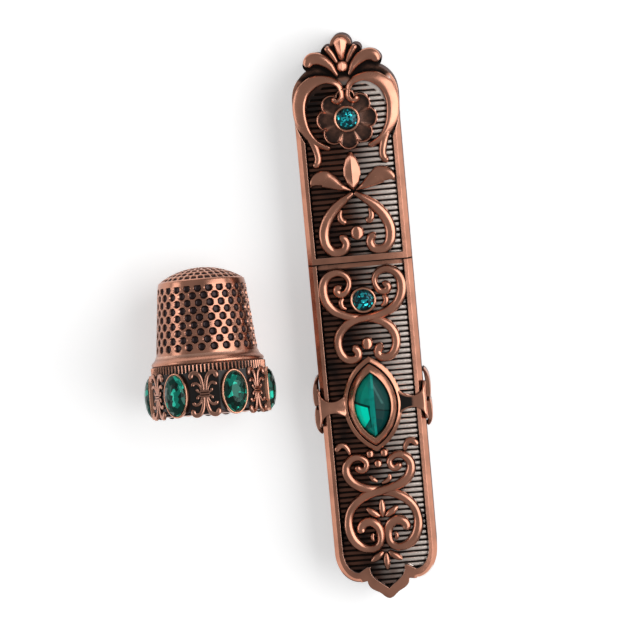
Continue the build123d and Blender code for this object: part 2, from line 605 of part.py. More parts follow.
# Band: arms over the front and rails, a bulging eyed loop on each side, and a
# strap let flush into the back
STRAP_TOP = CASE_HEIGHT + BAND_THICK
LOOP_TOP = GROUND - 0.3
with BuildPart() as gem_band:
    with BuildSketch(Plane.XY.offset(GROUND)):
        for side in (-1, 1):
            with BuildLine():
                reach = side * (HALF + BAND_THICK)
                waist = side * 6.4
                root = side * (NAVETTE_WIDTH / 2 - 0.6)
                half_neck, half_flare = BAND_NECK / 2, BAND_FLARE / 2
                ThreePointArc((root, NAVETTE_Y - half_flare), (waist, NAVETTE_Y - half_neck),
                              (reach, NAVETTE_Y - half_flare))
                Line((reach, NAVETTE_Y - half_flare), (reach, NAVETTE_Y + half_flare))
                ThreePointArc((reach, NAVETTE_Y + half_flare), (waist, NAVETTE_Y + half_neck),
                              (root, NAVETTE_Y + half_flare))
                Line((root, NAVETTE_Y + half_flare), (root, NAVETTE_Y - half_flare))
            make_face()
    extrude(amount=STRAP_TOP - GROUND)
    for side in (-1, 1):
        with BuildSketch(Plane.XY.offset(LOOP_TOP - LOOP_DEPTH)):
            for end in (-1, 1):
                with BuildLine():
                    side_x = side * HALF
                    ThreePointArc((side_x, NAVETTE_Y + end * LOOP_LENGTH / 2),
                                  (side_x + side * LOOP_PROUD, NAVETTE_Y + end * 0.27 * LOOP_LENGTH),
                                  (side_x + side * 0.85 * LOOP_PROUD, NAVETTE_Y))
                    Line((side_x + side * 0.85 * LOOP_PROUD, NAVETTE_Y), (side_x, NAVETTE_Y))
                    Line((side_x, NAVETTE_Y), (side_x, NAVETTE_Y + end * LOOP_LENGTH / 2))
                make_face()
        extrude(amount=LOOP_DEPTH)
        with BuildSketch(Plane.XY.offset(LOOP_TOP - 0.6 * LOOP_DEPTH)):
            for end in (-1, 1):
                with Locations((side * (HALF + 0.22), NAVETTE_Y + end * 0.29 * LOOP_LENGTH)):
                    Rectangle(0.44, 0.22 * LOOP_LENGTH)
        extrude(amount=LOOP_DEPTH, mode=Mode.SUBTRACT)
    with BuildSketch(Plane.XZ.offset(-NAVETTE_Y - BAND_NECK / 2)):
        with Locations((0, STRAP_TOP / 2)):
            Rectangle(CASE_WIDTH + 2 * BAND_THICK, STRAP_TOP)
    extrude(amount=BAND_NECK)
    with BuildSketch(Plane.XZ.offset(-NAVETTE_Y - BAND_NECK)):
        with Locations((0, (CASE_HEIGHT + BAND_THICK) / 2)):
            Rectangle(CASE_WIDTH, CASE_HEIGHT - BAND_THICK)
    extrude(amount=2 * BAND_NECK, mode=Mode.SUBTRACT)
    with BuildSketch(Plane.XY.offset(GROUND)):
        for side in (-1, 1):
            with BuildLine():
                root = side * (NAVETTE_WIDTH / 2 - 0.6)
                inner = side * RAIL_INNER
                half_neck, half_flare = BAND_NECK / 2, BAND_FLARE / 2
                Line((root, NAVETTE_Y - half_flare), (root, NAVETTE_Y + half_flare))
                Line((root, NAVETTE_Y + half_flare), (inner, NAVETTE_Y + half_neck))
                Line((inner, NAVETTE_Y + half_neck), (inner, NAVETTE_Y - half_neck))
                Line((inner, NAVETTE_Y - half_neck), (root, NAVETTE_Y - half_flare))
            make_face()
    extrude(amount=CASE_HEIGHT - GROUND)
    with BuildSketch(Plane.XY.offset(GROUND)):
        navette(NAVETTE_LENGTH, NAVETTE_WIDTH)
    extrude(amount=CASE_HEIGHT, mode=Mode.SUBTRACT)
write(gem_band.part, "gem_band")

# Thimble's frame: it lies on a fleur of its collar and on the rim of its tip, so its axis
# dips towards the tip; x is across, y is up and z runs from mouth to tip
CONTACT_RADIUS = PANEL_RADIUS + FLEUR_RISE
CONTACT_HEIGHT = COLLAR_HEIGHT - 0.15
RIM_HEIGHT = THIMBLE_HEIGHT - DOME_RISE
LEAN = math.atan((CONTACT_RADIUS - WALL_TOP_RADIUS) / (WALL_TOP - CONTACT_HEIGHT))
LIFT = CONTACT_HEIGHT * math.sin(LEAN) + CONTACT_RADIUS * math.cos(LEAN) + REST_GAP
lying = Plane((THIMBLE_X, THIMBLE_Y, LIFT), (-1, 0, 0), (0, math.cos(LEAN), -math.sin(LEAN)))


def outward(angle, radius, height, tip_up=0):
    """Plane that faces out from the thimble's axis, tipped towards the dome."""
    a = math.radians(angle)
    out = lying.x_dir * math.cos(a) + lying.y_dir * math.sin(a)
    across = lying.y_dir * math.cos(a) - lying.x_dir * math.sin(a)
    t = math.radians(tip_up)
    facing = out * math.cos(t) + lying.z_dir * math.sin(t)
    return Plane(lying.origin + lying.z_dir * height + out * radius, across, facing)


def pit(radius, depth, sides):
    """Pointed tool that sinks one pit, standing a little proud of the surface."""
    proud = 0.02
    with BuildPart() as tool:
        with BuildSketch(Plane.XY.offset(proud)) as mouth:
            RegularPolygon(radius * (1 + proud / depth), sides, rotation=180 / sides)
        loft([mouth.sketch.face(), Vertex(0, 0, -depth)], ruled=True)
    return tool.part


def facets(radius, count, height):
    """Regular outline of the cup at one height, with a flat at the top of the lying cup."""
    plane = Plane(lying.origin + lying.z_dir * height, lying.x_dir, lying.z_dir)
    with BuildSketch(plane) as ring:
        RegularPolygon(radius, count, major_radius=False, rotation=90 + 180 / count)
    return ring.sketch.face()


# Thimble: thin cup whose wall has two flats for each dimple, so that every
# staggered dimple sits on a flat of its own, and whose dome has rings of pits
wall_slope = (WALL_FOOT_RADIUS - WALL_TOP_RADIUS) / (WALL_TOP - WALL_FOOT)
wall_tip = math.degrees(math.atan(wall_slope))
dome_sphere = (TIP_RADIUS ** 2 + DOME_RISE ** 2) / (2 * DOME_RISE)
DOME_PITCH = TIP_RADIUS / (len(DOME_PITS_ROUND) + 1)


def dome_height(radius):
    """Height of the dome over the mouth at one radius."""
    return THIMBLE_HEIGHT - dome_sphere + math.sqrt(dome_sphere ** 2 - radius ** 2)


with BuildPart() as thimble_cup:
    extrude(facets(SKIRT_RADIUS, 2 * DIMPLES_ROUND, 0), amount=WALL_FOOT - 0.6, dir=lying.z_dir)
    loft([facets(SKIRT_RADIUS, 2 * DIMPLES_ROUND, WALL_FOOT - 0.6),
          facets(WALL_FOOT_RADIUS, 2 * DIMPLES_ROUND, WALL_FOOT)], ruled=True)
    loft([facets(WALL_FOOT_RADIUS, 2 * DIMPLES_ROUND, WALL_FOOT),
          facets(WALL_TOP_RADIUS, 2 * DIMPLES_ROUND, WALL_TOP)], ruled=True)
    loft([facets(WALL_TOP_RADIUS, 2 * DIMPLES_ROUND, WALL_TOP),
          facets(TIP_RADIUS, 2 * DIMPLES_ROUND, RIM_HEIGHT)], ruled=True)
    for ring, count in enumerate(DOME_PITS_ROUND):
        outer = TIP_RADIUS - ring * DOME_PITCH
        loft([facets(outer, count, dome_height(outer)),
              facets(outer - DOME_PITCH, count, dome_height(outer - DOME_PITCH))],
             ruled=True)
    inside = [(SKIRT_RADIUS, 0), (WALL_FOOT_RADIUS, WALL_FOOT), (WALL_TOP_RADIUS, WALL_TOP),
              (0.6 * WALL_TOP_RADIUS, THIMBLE_HEIGHT - THIMBLE_WALL - 0.3 * DOME_RISE)]
    for (foot_radius, foot), (top_radius, top) in zip(inside, inside[1:]):
        loft([facets(foot_radius - THIMBLE_WALL, DIMPLES_ROUND, foot),
              facets(top_radius - THIMBLE_WALL, DIMPLES_ROUND, top)],
             ruled=True, mode=Mode.SUBTRACT)
    dimple_places = []
    for row in range(DIMPLE_ROWS):
        height = DIMPLE_FIRST + row * DIMPLE_PITCH
        radius = WALL_FOOT_RADIUS - wall_slope * (height - WALL_FOOT)
        for k in range(DIMPLES_ROUND):
            angle = 90 + (k + row % 2 / 2) * 360 / DIMPLES_ROUND
            dimple_places.append(outward(angle, radius, height, wall_tip).location)
    with Locations(*dimple_places):
        add(pit(DIMPLE_RADIUS, DIMPLE_DEPTH, DIMPLE_SIDES), mode=Mode.SUBTRACT)
    pit_places = []
    for ring, count in enumerate(DOME_PITS_ROUND):
        outer = TIP_RADIUS - ring * DOME_PITCH
        fall = dome_height(outer - DOME_PITCH) - dome_height(outer)
        middle = (dome_height(outer - DOME_PITCH) + dome_height(outer)) / 2
        tip_up = 90 - math.degrees(math.atan(fall / DOME_PITCH))
        for k in range(count):
            angle = 90 + k * 360 / count
            place = outward(angle, outer - DOME_PITCH / 2, middle, tip_up)
            pit_places.append(place.location)
    with Locations(*pit_places):
        add(pit(DOME_PIT, DOME_PIT_DEPTH, DIMPLE_SIDES), mode=Mode.SUBTRACT)
write(thimble_cup.part, "thimble_cup")

# Collar: band with a flat panel for each stone and each fleur, a fluted ring above
# it and a smooth ring that meets the wall
FLUTE_FOOT = COLLAR_HEIGHT
RING_FOOT = FLUTE_FOOT + FLUTE_HEIGHT
SIDES = 2 * DIMPLES_ROUND
with BuildPart() as thimble_collar:
    extrude(facets(PANEL_RADIUS, 2 * STONE_COUNT, COLLAR_FOOT), amount=FLUTE_FOOT - COLLAR_FOOT,
            dir=lying.z_dir)
    with BuildSketch(Plane(lying.origin + lying.z_dir * FLUTE_FOOT, lying.x_dir, lying.z_dir)):
        flutes = []
        for k in range(2 * FLUTE_COUNT):
            radius = COLLAR_RADIUS - (k % 2) * FLUTE_DEPTH
            angle = math.pi * k / FLUTE_COUNT
            flutes.append((radius * math.cos(angle), radius * math.sin(angle)))
        Polygon(*flutes, align=None)
    extrude(amount=FLUTE_HEIGHT)
    loft([facets(RING_RADIUS, SIDES, RING_FOOT),
          facets(RING_RADIUS - RING_SLOPE, SIDES, RING_FOOT + RING_HEIGHT)], ruled=True)
    extrude(facets(SKIRT_RADIUS, SIDES, 0), amount=WALL_FOOT, dir=lying.z_dir, mode=Mode.SUBTRACT)
write(thimble_collar.part, "thimble_collar")


def oval(width, length):
    """Corners of a facet-sided oval."""
    turns = [math.radians(360 * i / OVAL_SIDES) for i in range(OVAL_SIDES)]
    return [(width / 2 * math.cos(a), length / 2 * math.sin(a)) for a in turns]


# Oval settings on every second panel
with BuildPart() as thimble_bezels:
    for k in range(STONE_COUNT):
        with BuildSketch(outward(k * 360 / STONE_COUNT, PANEL_RADIUS, STONE_HEIGHT)):
            Polygon(*oval(STONE_WIDTH + 2 * STONE_RIM, STONE_LENGTH + 2 * STONE_RIM))
            Polygon(*oval(STONE_WIDTH + GEM_FIT, STONE_LENGTH + GEM_FIT), mode=Mode.SUBTRACT)
        extrude(amount=STONE_RIM_RISE)
write(thimble_bezels.part, "thimble_bezels")

# Oval stones: each slopes up from its panel inside the rim to a flat table
with BuildPart() as thimble_gems:
    for k in range(STONE_COUNT):
        with BuildSketch(outward(k * 360 / STONE_COUNT, PANEL_RADIUS, STONE_HEIGHT)):
            Polygon(*oval(STONE_WIDTH - GEM_FIT, STONE_LENGTH - GEM_FIT))
        extrude(amount=STONE_RISE, taper=STONE_SLOPE)
write(thimble_gems.part, "thimble_gems")


# Fleurs on the panels between the stones: four scrolls tied at the middle
FLEUR_MIDDLE = (COLLAR_FOOT + COLLAR_HEIGHT) / 2
with BuildPart() as thimble_fleurs:
    for k in range(STONE_COUNT):
        panel = outward((k + 0.5) * 360 / STONE_COUNT, PANEL_RADIUS, FLEUR_MIDDLE)
        with BuildSketch(panel):
            Rectangle(2 * FLEUR_WIRE + 0.6, 1.4)
            for side in (-1, 1):
                for end in (-1, 1):
                    with BuildLine():
                        Polyline((side * 0.35, 0), (side * 0.35, end * 1.9), (side * 1.1, end * 3),
                                 (side * 1.9, end * 2.6), (side * 1.6, end * 1.9))
                    trace(line_width=2 * FLEUR_WIRE)
        extrude(amount=FLEUR_RISE)
write(thimble_fleurs.part, "thimble_fleurs")
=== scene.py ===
import math
import bpy
from mathutils import Matrix


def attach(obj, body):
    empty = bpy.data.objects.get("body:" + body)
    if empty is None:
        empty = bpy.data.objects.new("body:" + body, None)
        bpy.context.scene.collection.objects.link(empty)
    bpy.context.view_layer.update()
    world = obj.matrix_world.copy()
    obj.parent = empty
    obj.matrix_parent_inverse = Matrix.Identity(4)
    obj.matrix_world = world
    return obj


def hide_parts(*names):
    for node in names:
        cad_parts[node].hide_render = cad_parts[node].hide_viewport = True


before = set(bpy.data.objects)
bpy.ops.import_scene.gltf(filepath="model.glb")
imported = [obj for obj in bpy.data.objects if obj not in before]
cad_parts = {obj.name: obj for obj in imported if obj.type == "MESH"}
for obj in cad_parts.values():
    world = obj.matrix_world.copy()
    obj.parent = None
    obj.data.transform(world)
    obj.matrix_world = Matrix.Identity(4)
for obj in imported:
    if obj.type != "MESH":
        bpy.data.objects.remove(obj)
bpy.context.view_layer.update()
bpy.ops.object.select_all(action="DESELECT")

# Case shells
# The two back shells and the neck, of thin cast copper alloy, darkened in a bath and rubbed
# back so that corners are bright. The neck is soldered in the body and the cap slides on it.


class Value:
    """A shader value that takes part in ordinary sums."""

    def __init__(self, finish, socket):
        self.finish, self.socket = finish, socket

    def worked(self, operation, first, second):
        return self.finish.node("ShaderNodeMath", {"operation": operation}, {0: first, 1: second})

    def __add__(self, other):
        return self.worked("ADD", self, other)

    def __sub__(self, other):
        return self.worked("SUBTRACT", self, other)

    def __rsub__(self, other):
        return self.worked("SUBTRACT", other, self)

    def __mul__(self, other):
        return self.worked("MULTIPLY", self, other)

    __radd__ = __add__
    __rmul__ = __mul__

    def stepped(self, low, high):
        """Smooth step from nothing at low to all at high."""
        return self.finish.node("ShaderNodeMapRange", {"interpolation_type": "SMOOTHSTEP"},
                                {0: self, 1: low, 2: high, 3: 0.0, 4: 1.0})


class Finish:
    """One material while it is being mixed."""

    def __init__(self, name):
        self.material = bpy.data.materials.new(name)
        self.material.use_nodes = True
        self.tree = self.material.node_tree
        self.shader = self.tree.nodes["Principled BSDF"]

    def node(self, kind, settings=None, inputs=None, output=0):
        """Add a node, give it its settings and inputs, and return one of its outputs."""
        made = self.tree.nodes.new(kind)
        for key, setting in (settings or {}).items():
            setattr(made, key, setting)
        for key, given in (inputs or {}).items():
            self.feed(made.inputs[key], given)
        return Value(self, made.outputs[output])

    def feed(self, socket, given):
        """Link a value to a socket, or set the socket to a number or a colour."""
        if isinstance(given, Value):
            self.tree.links.new(given.socket, socket)
        elif isinstance(given, tuple) and len(given) == 3 and socket.type == "RGBA":
            socket.default_value = (*given, 1.0)
        else:
            socket.default_value = given

    def set(self, **inputs):
        """Set or link the shader's own sockets."""
        for key, given in inputs.items():
            self.feed(self.shader.inputs[key.replace("_", " ")], given)

    def place(self):
        """Place on the piece, in metres."""
        return self.node("ShaderNodeTexCoord", output="Object")

    def along(self, axis):
        """Distance along one axis of the case, in millimetres."""
        parts = self.node("ShaderNodeSeparateXYZ", {}, {0: self.place()}, output="XYZ".index(axis))
        return parts * 1000

    def noise(self, scale, detail=3.0):
        """Soft clouds or grain, finer as the scale grows."""
        return self.node("ShaderNodeTexNoise", {},
                         {"Vector": self.place(), "Scale": scale, "Detail": detail})

    def blend(self, share, first, second):
        """Colour between first and second."""
        return self.node("ShaderNodeMix", {"data_type": "RGBA"},
                         {0: share, 6: first, 7: second}, output=2)

    def open_sky(self, reach):
        """How open a place is to what lies around it, within the reach in metres."""
        return self.node("ShaderNodeAmbientOcclusion", {"samples": 8}, {"Distance": reach},
                         output="AO")

    def rubbed_corner(self, grain):
        """Where corners are thin enough for the rubbing to have brightened them."""
        thick = self.node("ShaderNodeAmbientOcclusion", {"samples": 6, "inside": True},
                          {"Distance": 0.00022}, output="AO")
        return ((1.0 - thick) * 1.4 + (grain - 0.5) * 0.5).stepped(0.35, 0.95)

    def upright(self):
        """Share of a surface that stands upright, such as a side wall."""
        facing = self.node("ShaderNodeNewGeometry", output="True Normal")
        z = self.node("ShaderNodeSeparateXYZ", {}, {0: facing}, output="Z")
        return 1.0 - (z * z).stepped(0.05, 0.3)

    def joint_line(self):
        """Thin dark line at the cap's mouth; its edges are squares of millimetres."""
        off = self.along("Y") - JOINT
        return 1.0 - (off * off).stepped(0.006, 0.025)

    def cast_grain(self, grain, under, strength=0.25):
        """Fine grain of the casting over a rounded or tilted surface."""
        return self.node("ShaderNodeBump", {},
                         {"Strength": strength, "Distance": 0.00003, "Height": grain,
                          "Normal": under})


RUBBED = (0.90, 0.53, 0.395)
COPPER = (0.63, 0.29, 0.195)
BATH = (0.012, 0.009, 0.008)
# Grey-mauve painted on upright walls as the reflection of the pale table they face.
WALL_PAINTED_REFLECTION = (0.17, 0.125, 0.12)
JOINT = 9.5


def antique_copper(name, body=COPPER, depth=0.0008, darkness=1.0, gloss=0.25,
                   round_over=0.00009, worn=0.7, bath=BATH, bath_metal=0.45, sides=None,
                   glance=(1.0, 1.0, 1.0)):
    """Copper darkened in its recesses and rubbed bright along its edges.

    A mesh may carry its own bath value, which blackens it where the bath was left and, on the
    band's right arm, lays a painted dark reflection. Upright sides may take a duller grey-mauve
    colour, a painted reflection of the pale table, and glance tints what they mirror edge on.
    """
    finish = Finish(name)
    cloud = finish.noise(170.0, 2.0)
    speck = finish.noise(1700.0, 4.0)
    # The mesh's bath value also carries the painted dark reflection in the band's right arm.
    own_bath_and_reflection = finish.node("ShaderNodeAttribute", {"attribute_name": "bath"}, output="Fac")
    rounded = finish.node("ShaderNodeBevel", {"samples": 4}, {"Radius": round_over})
    hollow = ((1.0 - finish.open_sky(depth)) * (1.6 * darkness) + (cloud - 0.5) * 0.35
              + (speck - 0.5) * 0.3)
    dark = (hollow + own_bath_and_reflection).stepped(0.3, 0.9)
    colour = finish.blend(cloud.stepped(0.35, 0.7), body, tuple(0.72 * c for c in body))
    if worn:
        colour = finish.blend(finish.rubbed_corner(speck) * worn, colour, RUBBED)
    metal = 1.0 - dark * (1.0 - bath_metal)
    dull = speck * 0.12 + dark * 0.12 + (gloss - 0.06)
    if sides:
        wall = finish.upright()
        # Upright sides are painted grey-mauve as a reflection of the pale table.
        colour = finish.blend(wall, colour, sides)
        metal = metal * (1.0 - wall * 0.7)
        dull = dull + wall * 0.15
    finish.set(Base_Color=finish.blend(dark, colour, bath), Metallic=metal, Roughness=dull,
               Normal=finish.cast_grain(speck, rounded), Specular_Tint=glance,
               Specular_IOR_Level=0.0 if sides else 0.5)
    return finish.material


def dress(node, material):
    """Give a kept node its finish."""
    held = bpy.data.objects[node]
    held.data.materials.clear()
    held.data.materials.append(material)


# The shells' upright walls are painted a dull grey-mauve, a reflection of the pale table.
shell_finish = antique_copper("shell_copper", body=(0.46, 0.25, 0.19), gloss=0.33,
                              round_over=0.00025, darkness=0.6, worn=0.5, sides=WALL_PAINTED_REFLECTION,
                              glance=(0.3, 0.24, 0.23))
for node in ("body_back_shell", "cap_back_shell"):
    dress(node, shell_finish)
dress("neck_sleeve", antique_copper("neck_copper", gloss=0.26, worn=0.3))

# Front plates
# The two cast copper fronts, soldered to the shells. A bevelled rail runs round a sunk and
# slightly pillowed field of reeds, black in between from the bath, with their tops painted
# dark brown as shade on the left and pale as a painted highlight towards the right rail.
GROUND = 7.7
FIELD_TOP = 38.4
FIELD_HALF, RAIL_FROM = 7.2, 7.5
MOUTH_STRIP = 0.82
FINIAL_FOOT, FINIAL_GROUND_TOP = 43.6, 44.6
PILLOW_RADIUS = 38.0
# Reed tops: a painted-shade brown on the left, with darker patches, and a painted highlight towards
# the right.
SHADED_REED, SHADED_REED_DARK = (0.16, 0.070, 0.048), (0.035, 0.026, 0.024)
LIT_REED = (0.97, 0.84, 0.76)


def reeded_copper(name):
    """Rail copper; sunk reeds black between, their tops painted as shade at left and as highlight
    at right.
    """
    finish = Finish(name)
    x, y, z = (finish.along(axis) for axis in "XYZ")
    cloud = finish.noise(240.0, 2.0)
    speck = finish.noise(1700.0, 4.0)
    ground = 1.0 - z.stepped(GROUND + 0.08, GROUND + 0.25)
    strip = JOINT - MOUTH_STRIP
    lip = y.stepped(strip - 0.04, strip + 0.04) * (1.0 - y.stepped(JOINT, JOINT + 0.04))
    within = 1.0 - (x * x).stepped(FIELD_HALF ** 2, RAIL_FROM ** 2)
    field = within * ground * (1.0 - y.stepped(FIELD_TOP - 0.4, FIELD_TOP + 0.4)) * (1.0 - lip)
    wall = finish.upright()
    crevice = ground * (1.0 - wall) * y.stepped(FIELD_TOP, FIELD_TOP + 0.8)
    crevice = crevice * (1.0 - y.stepped(FINIAL_FOOT, FINIAL_GROUND_TOP))
    rail_round = finish.node("ShaderNodeBevel", {"samples": 6}, {"Radius": 0.00012})
    reed_round = finish.node("ShaderNodeBevel", {"samples": 8}, {"Radius": 0.00026})
    turned = finish.node("ShaderNodeMix", {"data_type": "VECTOR"},
                         {0: field, 4: rail_round, 5: reed_round}, output=1)
    crest = z.stepped(GROUND - 0.15, GROUND - 0.02)
    # How far the painted highlight on the reed tops spreads, growing towards the right rail.
    right = (x + (cloud - 0.5) * 6).stepped(-2.0, 5.0)
    hollow = (1.0 - finish.open_sky(0.0011)) * 1.5 + (speck - 0.5) * 0.3
    warm = finish.blend(cloud.stepped(0.35, 0.7), COPPER, tuple(0.75 * c for c in COPPER))
    rail = finish.blend(finish.rubbed_corner(speck) * 0.7, warm, RUBBED)
    # Upright rail walls are painted grey-mauve as a reflection of the pale table.
    rail = finish.blend(wall, rail, WALL_PAINTED_REFLECTION)
    left_in = (hollow + crevice * 0.75).stepped(0.35, 0.95)
    rail = finish.blend(left_in, rail, BATH)
    # Reed tops painted as shade on the left and as a pale highlight towards the right; the grooves
    # stay black.
    shaded_reed = finish.blend(cloud.stepped(0.4, 0.7), SHADED_REED, SHADED_REED_DARK)
    reed = finish.blend(crest, BATH, finish.blend(right, shaded_reed, LIT_REED))
    reed = finish.blend(hollow.stepped(0.45, 1.1), reed, BATH)
    pillow = finish.node("ShaderNodeBump", {},
                         {"Strength": 1.0, "Distance": 0.001, "Normal": turned,
                          "Height": x * x * (-0.5 / PILLOW_RADIUS)})
    colour = finish.blend(finish.joint_line(), finish.blend(field, rail, reed), BATH)
    plain = 1.0 - field
    metal = (1.0 - field * (1.0 - crest) * 0.5) * (1.0 - wall * plain * 0.7)
    finish.set(Base_Color=colour, Metallic=metal * (1.0 - left_in * plain * 0.5),
               Specular_Tint=(0.5, 0.42, 0.40), Specular_IOR_Level=0.0,
               Roughness=speck * 0.12 + wall * plain * 0.15 + 0.18,
               Normal=finish.cast_grain(speck, pillow))
    return finish.material


plate_finish = reeded_copper("reeded_copper")
for node in ("body_front_plate", "cap_front_plate"):
    dress(node, plate_finish)

# Scrolls
# The scrollwork is cast with the front: rounded straps with upright flanks that swell
# and thin along their run, and keeled leaves. Places are in millimetres on the front.
TOP = 45.7
TIP = -45.7
scroll_finish = antique_copper("scroll_copper", depth=0.0007, darkness=0.8, worn=0)
KEELED = [(-1, 0), (-0.99, 0.2), (-0.94, 0.37), (-0.82, 0.5), (-0.6, 0.65), (-0.3, 0.83),
          (-0.06, 0.975), (0, 1), (0.06, 0.975), (0.3, 0.83), (0.6, 0.65), (0.82, 0.5),
          (0.94, 0.37), (0.99, 0.2), (1, 0)]
ROUNDED = [(-1, 0), (-1, 0.26), (-0.97, 0.44), (-0.89, 0.6), (-0.76, 0.74), (-0.58, 0.86),
           (-0.36, 0.95), (-0.12, 0.995), (0.12, 0.995), (0.36, 0.95), (0.58, 0.86),
           (0.76, 0.74), (0.89, 0.6), (0.97, 0.44), (1, 0.26), (1, 0)]
CRESTED = [(-1, 0), (-1, 0.2), (-0.97, 0.36), (-0.86, 0.5), (-0.66, 0.62), (-0.4, 0.74),
           (-0.1, 0.86), (0.2, 0.95), (0.42, 0.99), (0.62, 0.98), (0.8, 0.9), (0.92, 0.76),
           (0.98, 0.55), (1, 0.3), (1, 0)]


def wrapped(name, across, along, place):
    """Sheet of squares laid over a form: place gives a point for each share across, along.

    A fourth number, where place gives one, is how much of the bath stays on that point; on the
    band's right arm it carries a painted dark reflection.
    """
    bpy.ops.mesh.primitive_grid_add(x_subdivisions=across, y_subdivisions=along, size=2)
    piece = bpy.context.object
    piece.name = name
    bath = piece.data.attributes.new("bath", "FLOAT", "POINT")
    for i, vertex in enumerate(piece.data.vertices):
        x, y, z, *left = place((vertex.co.x + 1) / 2, (vertex.co.y + 1) / 2)
        vertex.co = (x / 1000, y / 1000, z / 1000)
        bath.data[i].value = left[0] if left else 0.0
    bpy.ops.object.mode_set(mode="EDIT")
    bpy.ops.mesh.select_all(action="SELECT")
    bpy.ops.mesh.remove_doubles(threshold=2e-6)
    bpy.ops.mesh.dissolve_degenerate(threshold=1e-7)
    bpy.ops.mesh.normals_make_consistent(inside=False)
    bpy.ops.object.mode_set(mode="OBJECT")
    return piece


def finished(piece, material, body, replaces, angle=30):
    """Shade a piece, give it its finish and say what it rides on and stands for."""
    bpy.ops.object.select_all(action="DESELECT")
    piece.select_set(True)
    bpy.context.view_layer.objects.active = piece
    bpy.ops.object.shade_smooth_by_angle(angle=math.radians(angle))
    piece.data.materials.clear()
    piece.data.materials.append(material)
    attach(piece, body)
    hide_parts(replaces)
    bpy.ops.object.select_all(action="DESELECT")


def run_through(points, count):
    """Evenly spaced places on a smooth line through points, and the line's length."""
    first = tuple(2 * a - b for a, b in zip(points[0], points[1]))
    last = tuple(2 * a - b for a, b in zip(points[-1], points[-2]))
    held = [first, *points, last]
    fine = []
    for p0, p1, p2, p3 in zip(held, held[1:], held[2:], held[3:]):
        for step in range(24):
            t = step / 24
            fine.append([0.5 * (2 * b + (c - a) * t + (2 * a - 5 * b + 4 * c - d) * t * t
                                + (3 * b - a - 3 * c + d) * t ** 3)
                         for a, b, c, d in zip(p0, p1, p2, p3)])
    fine.append(list(points[-1]))
    reach = [0.0]
    for a, b in zip(fine, fine[1:]):
        reach.append(reach[-1] + math.dist(a, b))
    placed, i = [], 0
    for step in range(count + 1):
        goal = reach[-1] * step / count
        while i < len(fine) - 2 and reach[i + 1] < goal:
            i += 1
        share = (goal - reach[i]) / max(reach[i + 1] - reach[i], 1e-9)
        placed.append([a + (b - a) * share for a, b in zip(fine[i], fine[i + 1])])
    return placed, reach[-1]


FULL_HALF = 0.55
BATH_REACH = 0.38


def strap(name, points, halves, rise, section=ROUNDED, base=GROUND, spot=None, pitch=0.13,
          swell=None):
    """One raised strap, leaf or bead along a smooth line, rounded off at both ends.

    The half-widths are spread evenly along it, and a strap narrower than the full
    half-width is lower too. Swell changes its height by place, spot lays it on another
    form, and the bath reaches a little way up its flanks.
    """
    count = max(14, int(sum(math.dist(a, b) for a, b in zip(points, points[1:])) / pitch))
    line, length = run_through(points, count)

    def half_at(t):
        span = t * (len(halves) - 1)
        i = min(int(span), len(halves) - 2)
        return halves[i] + (halves[i + 1] - halves[i]) * (span - i)

    def place(u, v):
        i = round(v * count)
        half = half_at(v)
        for gone in (v * length, (1 - v) * length):
            blunt = max(0.12, half_at(round(v)))
            if gone < blunt:
                half *= math.sqrt(max(0.0, 1 - (1 - gone / blunt) ** 2))
        a, b = line[max(i - 1, 0)], line[min(i + 1, count)]
        run = math.dist(a, b) or 1
        out_x, out_y = (b[1] - a[1]) / run, (a[0] - b[0]) / run
        side, up = section[round(u * (len(section) - 1))]
        height = rise * min(1, 0.22 + 0.78 * half / FULL_HALF) * (1 if half > 0.02 else 0)
        if swell:
            height *= swell(*line[i])
        point = (line[i][0] + out_x * side * half, line[i][1] + out_y * side * half,
                 base + up * height)
        bath = 0.85 * max(0.0, 1 - up * height / BATH_REACH)
        return (*(spot(point) if spot else point), bath)

    return wrapped(name, len(section) - 1, count, place)


def mirrored(points):
    """The same run on the other side of the case's middle line."""
    return [(-x, y) for x, y in points]


def shifted(points, y):
    """An ornament's points at its own station along the case."""
    return [(px, py + y) for px, py in points]


def joined(name, pieces):
    """Make one piece of several."""
    bpy.ops.object.select_all(action="DESELECT")
    for piece in pieces:
        piece.select_set(True)
    bpy.context.view_layer.objects.active = pieces[0]
    if len(pieces) > 1:
        bpy.ops.object.join()
    pieces[0].name = name
    return pieces[0]


def both_sides(name, points, halves, rise, section=ROUNDED):
    """Like straps on the right and on the left, made one piece."""
    return joined(name, [strap(name, turned(points), halves, rise, section)
                         for turned in (list, mirrored)])


# Arch scrolls of the cap: each curls in over the round stone, sweeps round the shoulder
# as the edge of the cap, and parts into an inner tail and a foot. Its crest runs near the
# inner edge, and the rest slopes outwards as the rails do.
ARCH = [(2.0, -9.7), (1.75, -10.35), (1.1, -10.55), (0.52, -9.9), (0.5, -9.0), (0.9, -7.9),
        (1.9, -7.15), (3.3, -6.85), (5, -7.2), (6.5, -8.4), (7.25, -10.1), (7.4, -11.9),
        (7.1, -13.8), (6.4, -15.4), (5.4, -16.6), (4.2, -17.4), (3, -17.9)]
ARCH_HALVES = [0.46, 0.46, 0.5, 0.66, 1.02, 1.1, 1.08, 1.02, 0.8, 0.55, 0.42]
FOOT = [(6.5, -15.2), (5.75, -16.7), (5.3, -18.1), (5.15, -19.3), (5.5, -20.15), (6.15, -20.1)]
FOOT_HALVES = [0.4, 0.66, 0.66, 0.62, 0.62, 0.55]
for side, turned in (("right", list), ("left", mirrored)):
    name = "arch_scroll_" + side
    arch = joined(name + "_cast", [
        strap(name, turned(shifted(ARCH, TOP)), ARCH_HALVES, 1.05, turned(CRESTED)),
        strap(name, turned(shifted(FOOT, TOP)), FOOT_HALVES, 0.85)])
    finished(arch, scroll_finish, "cap", name)

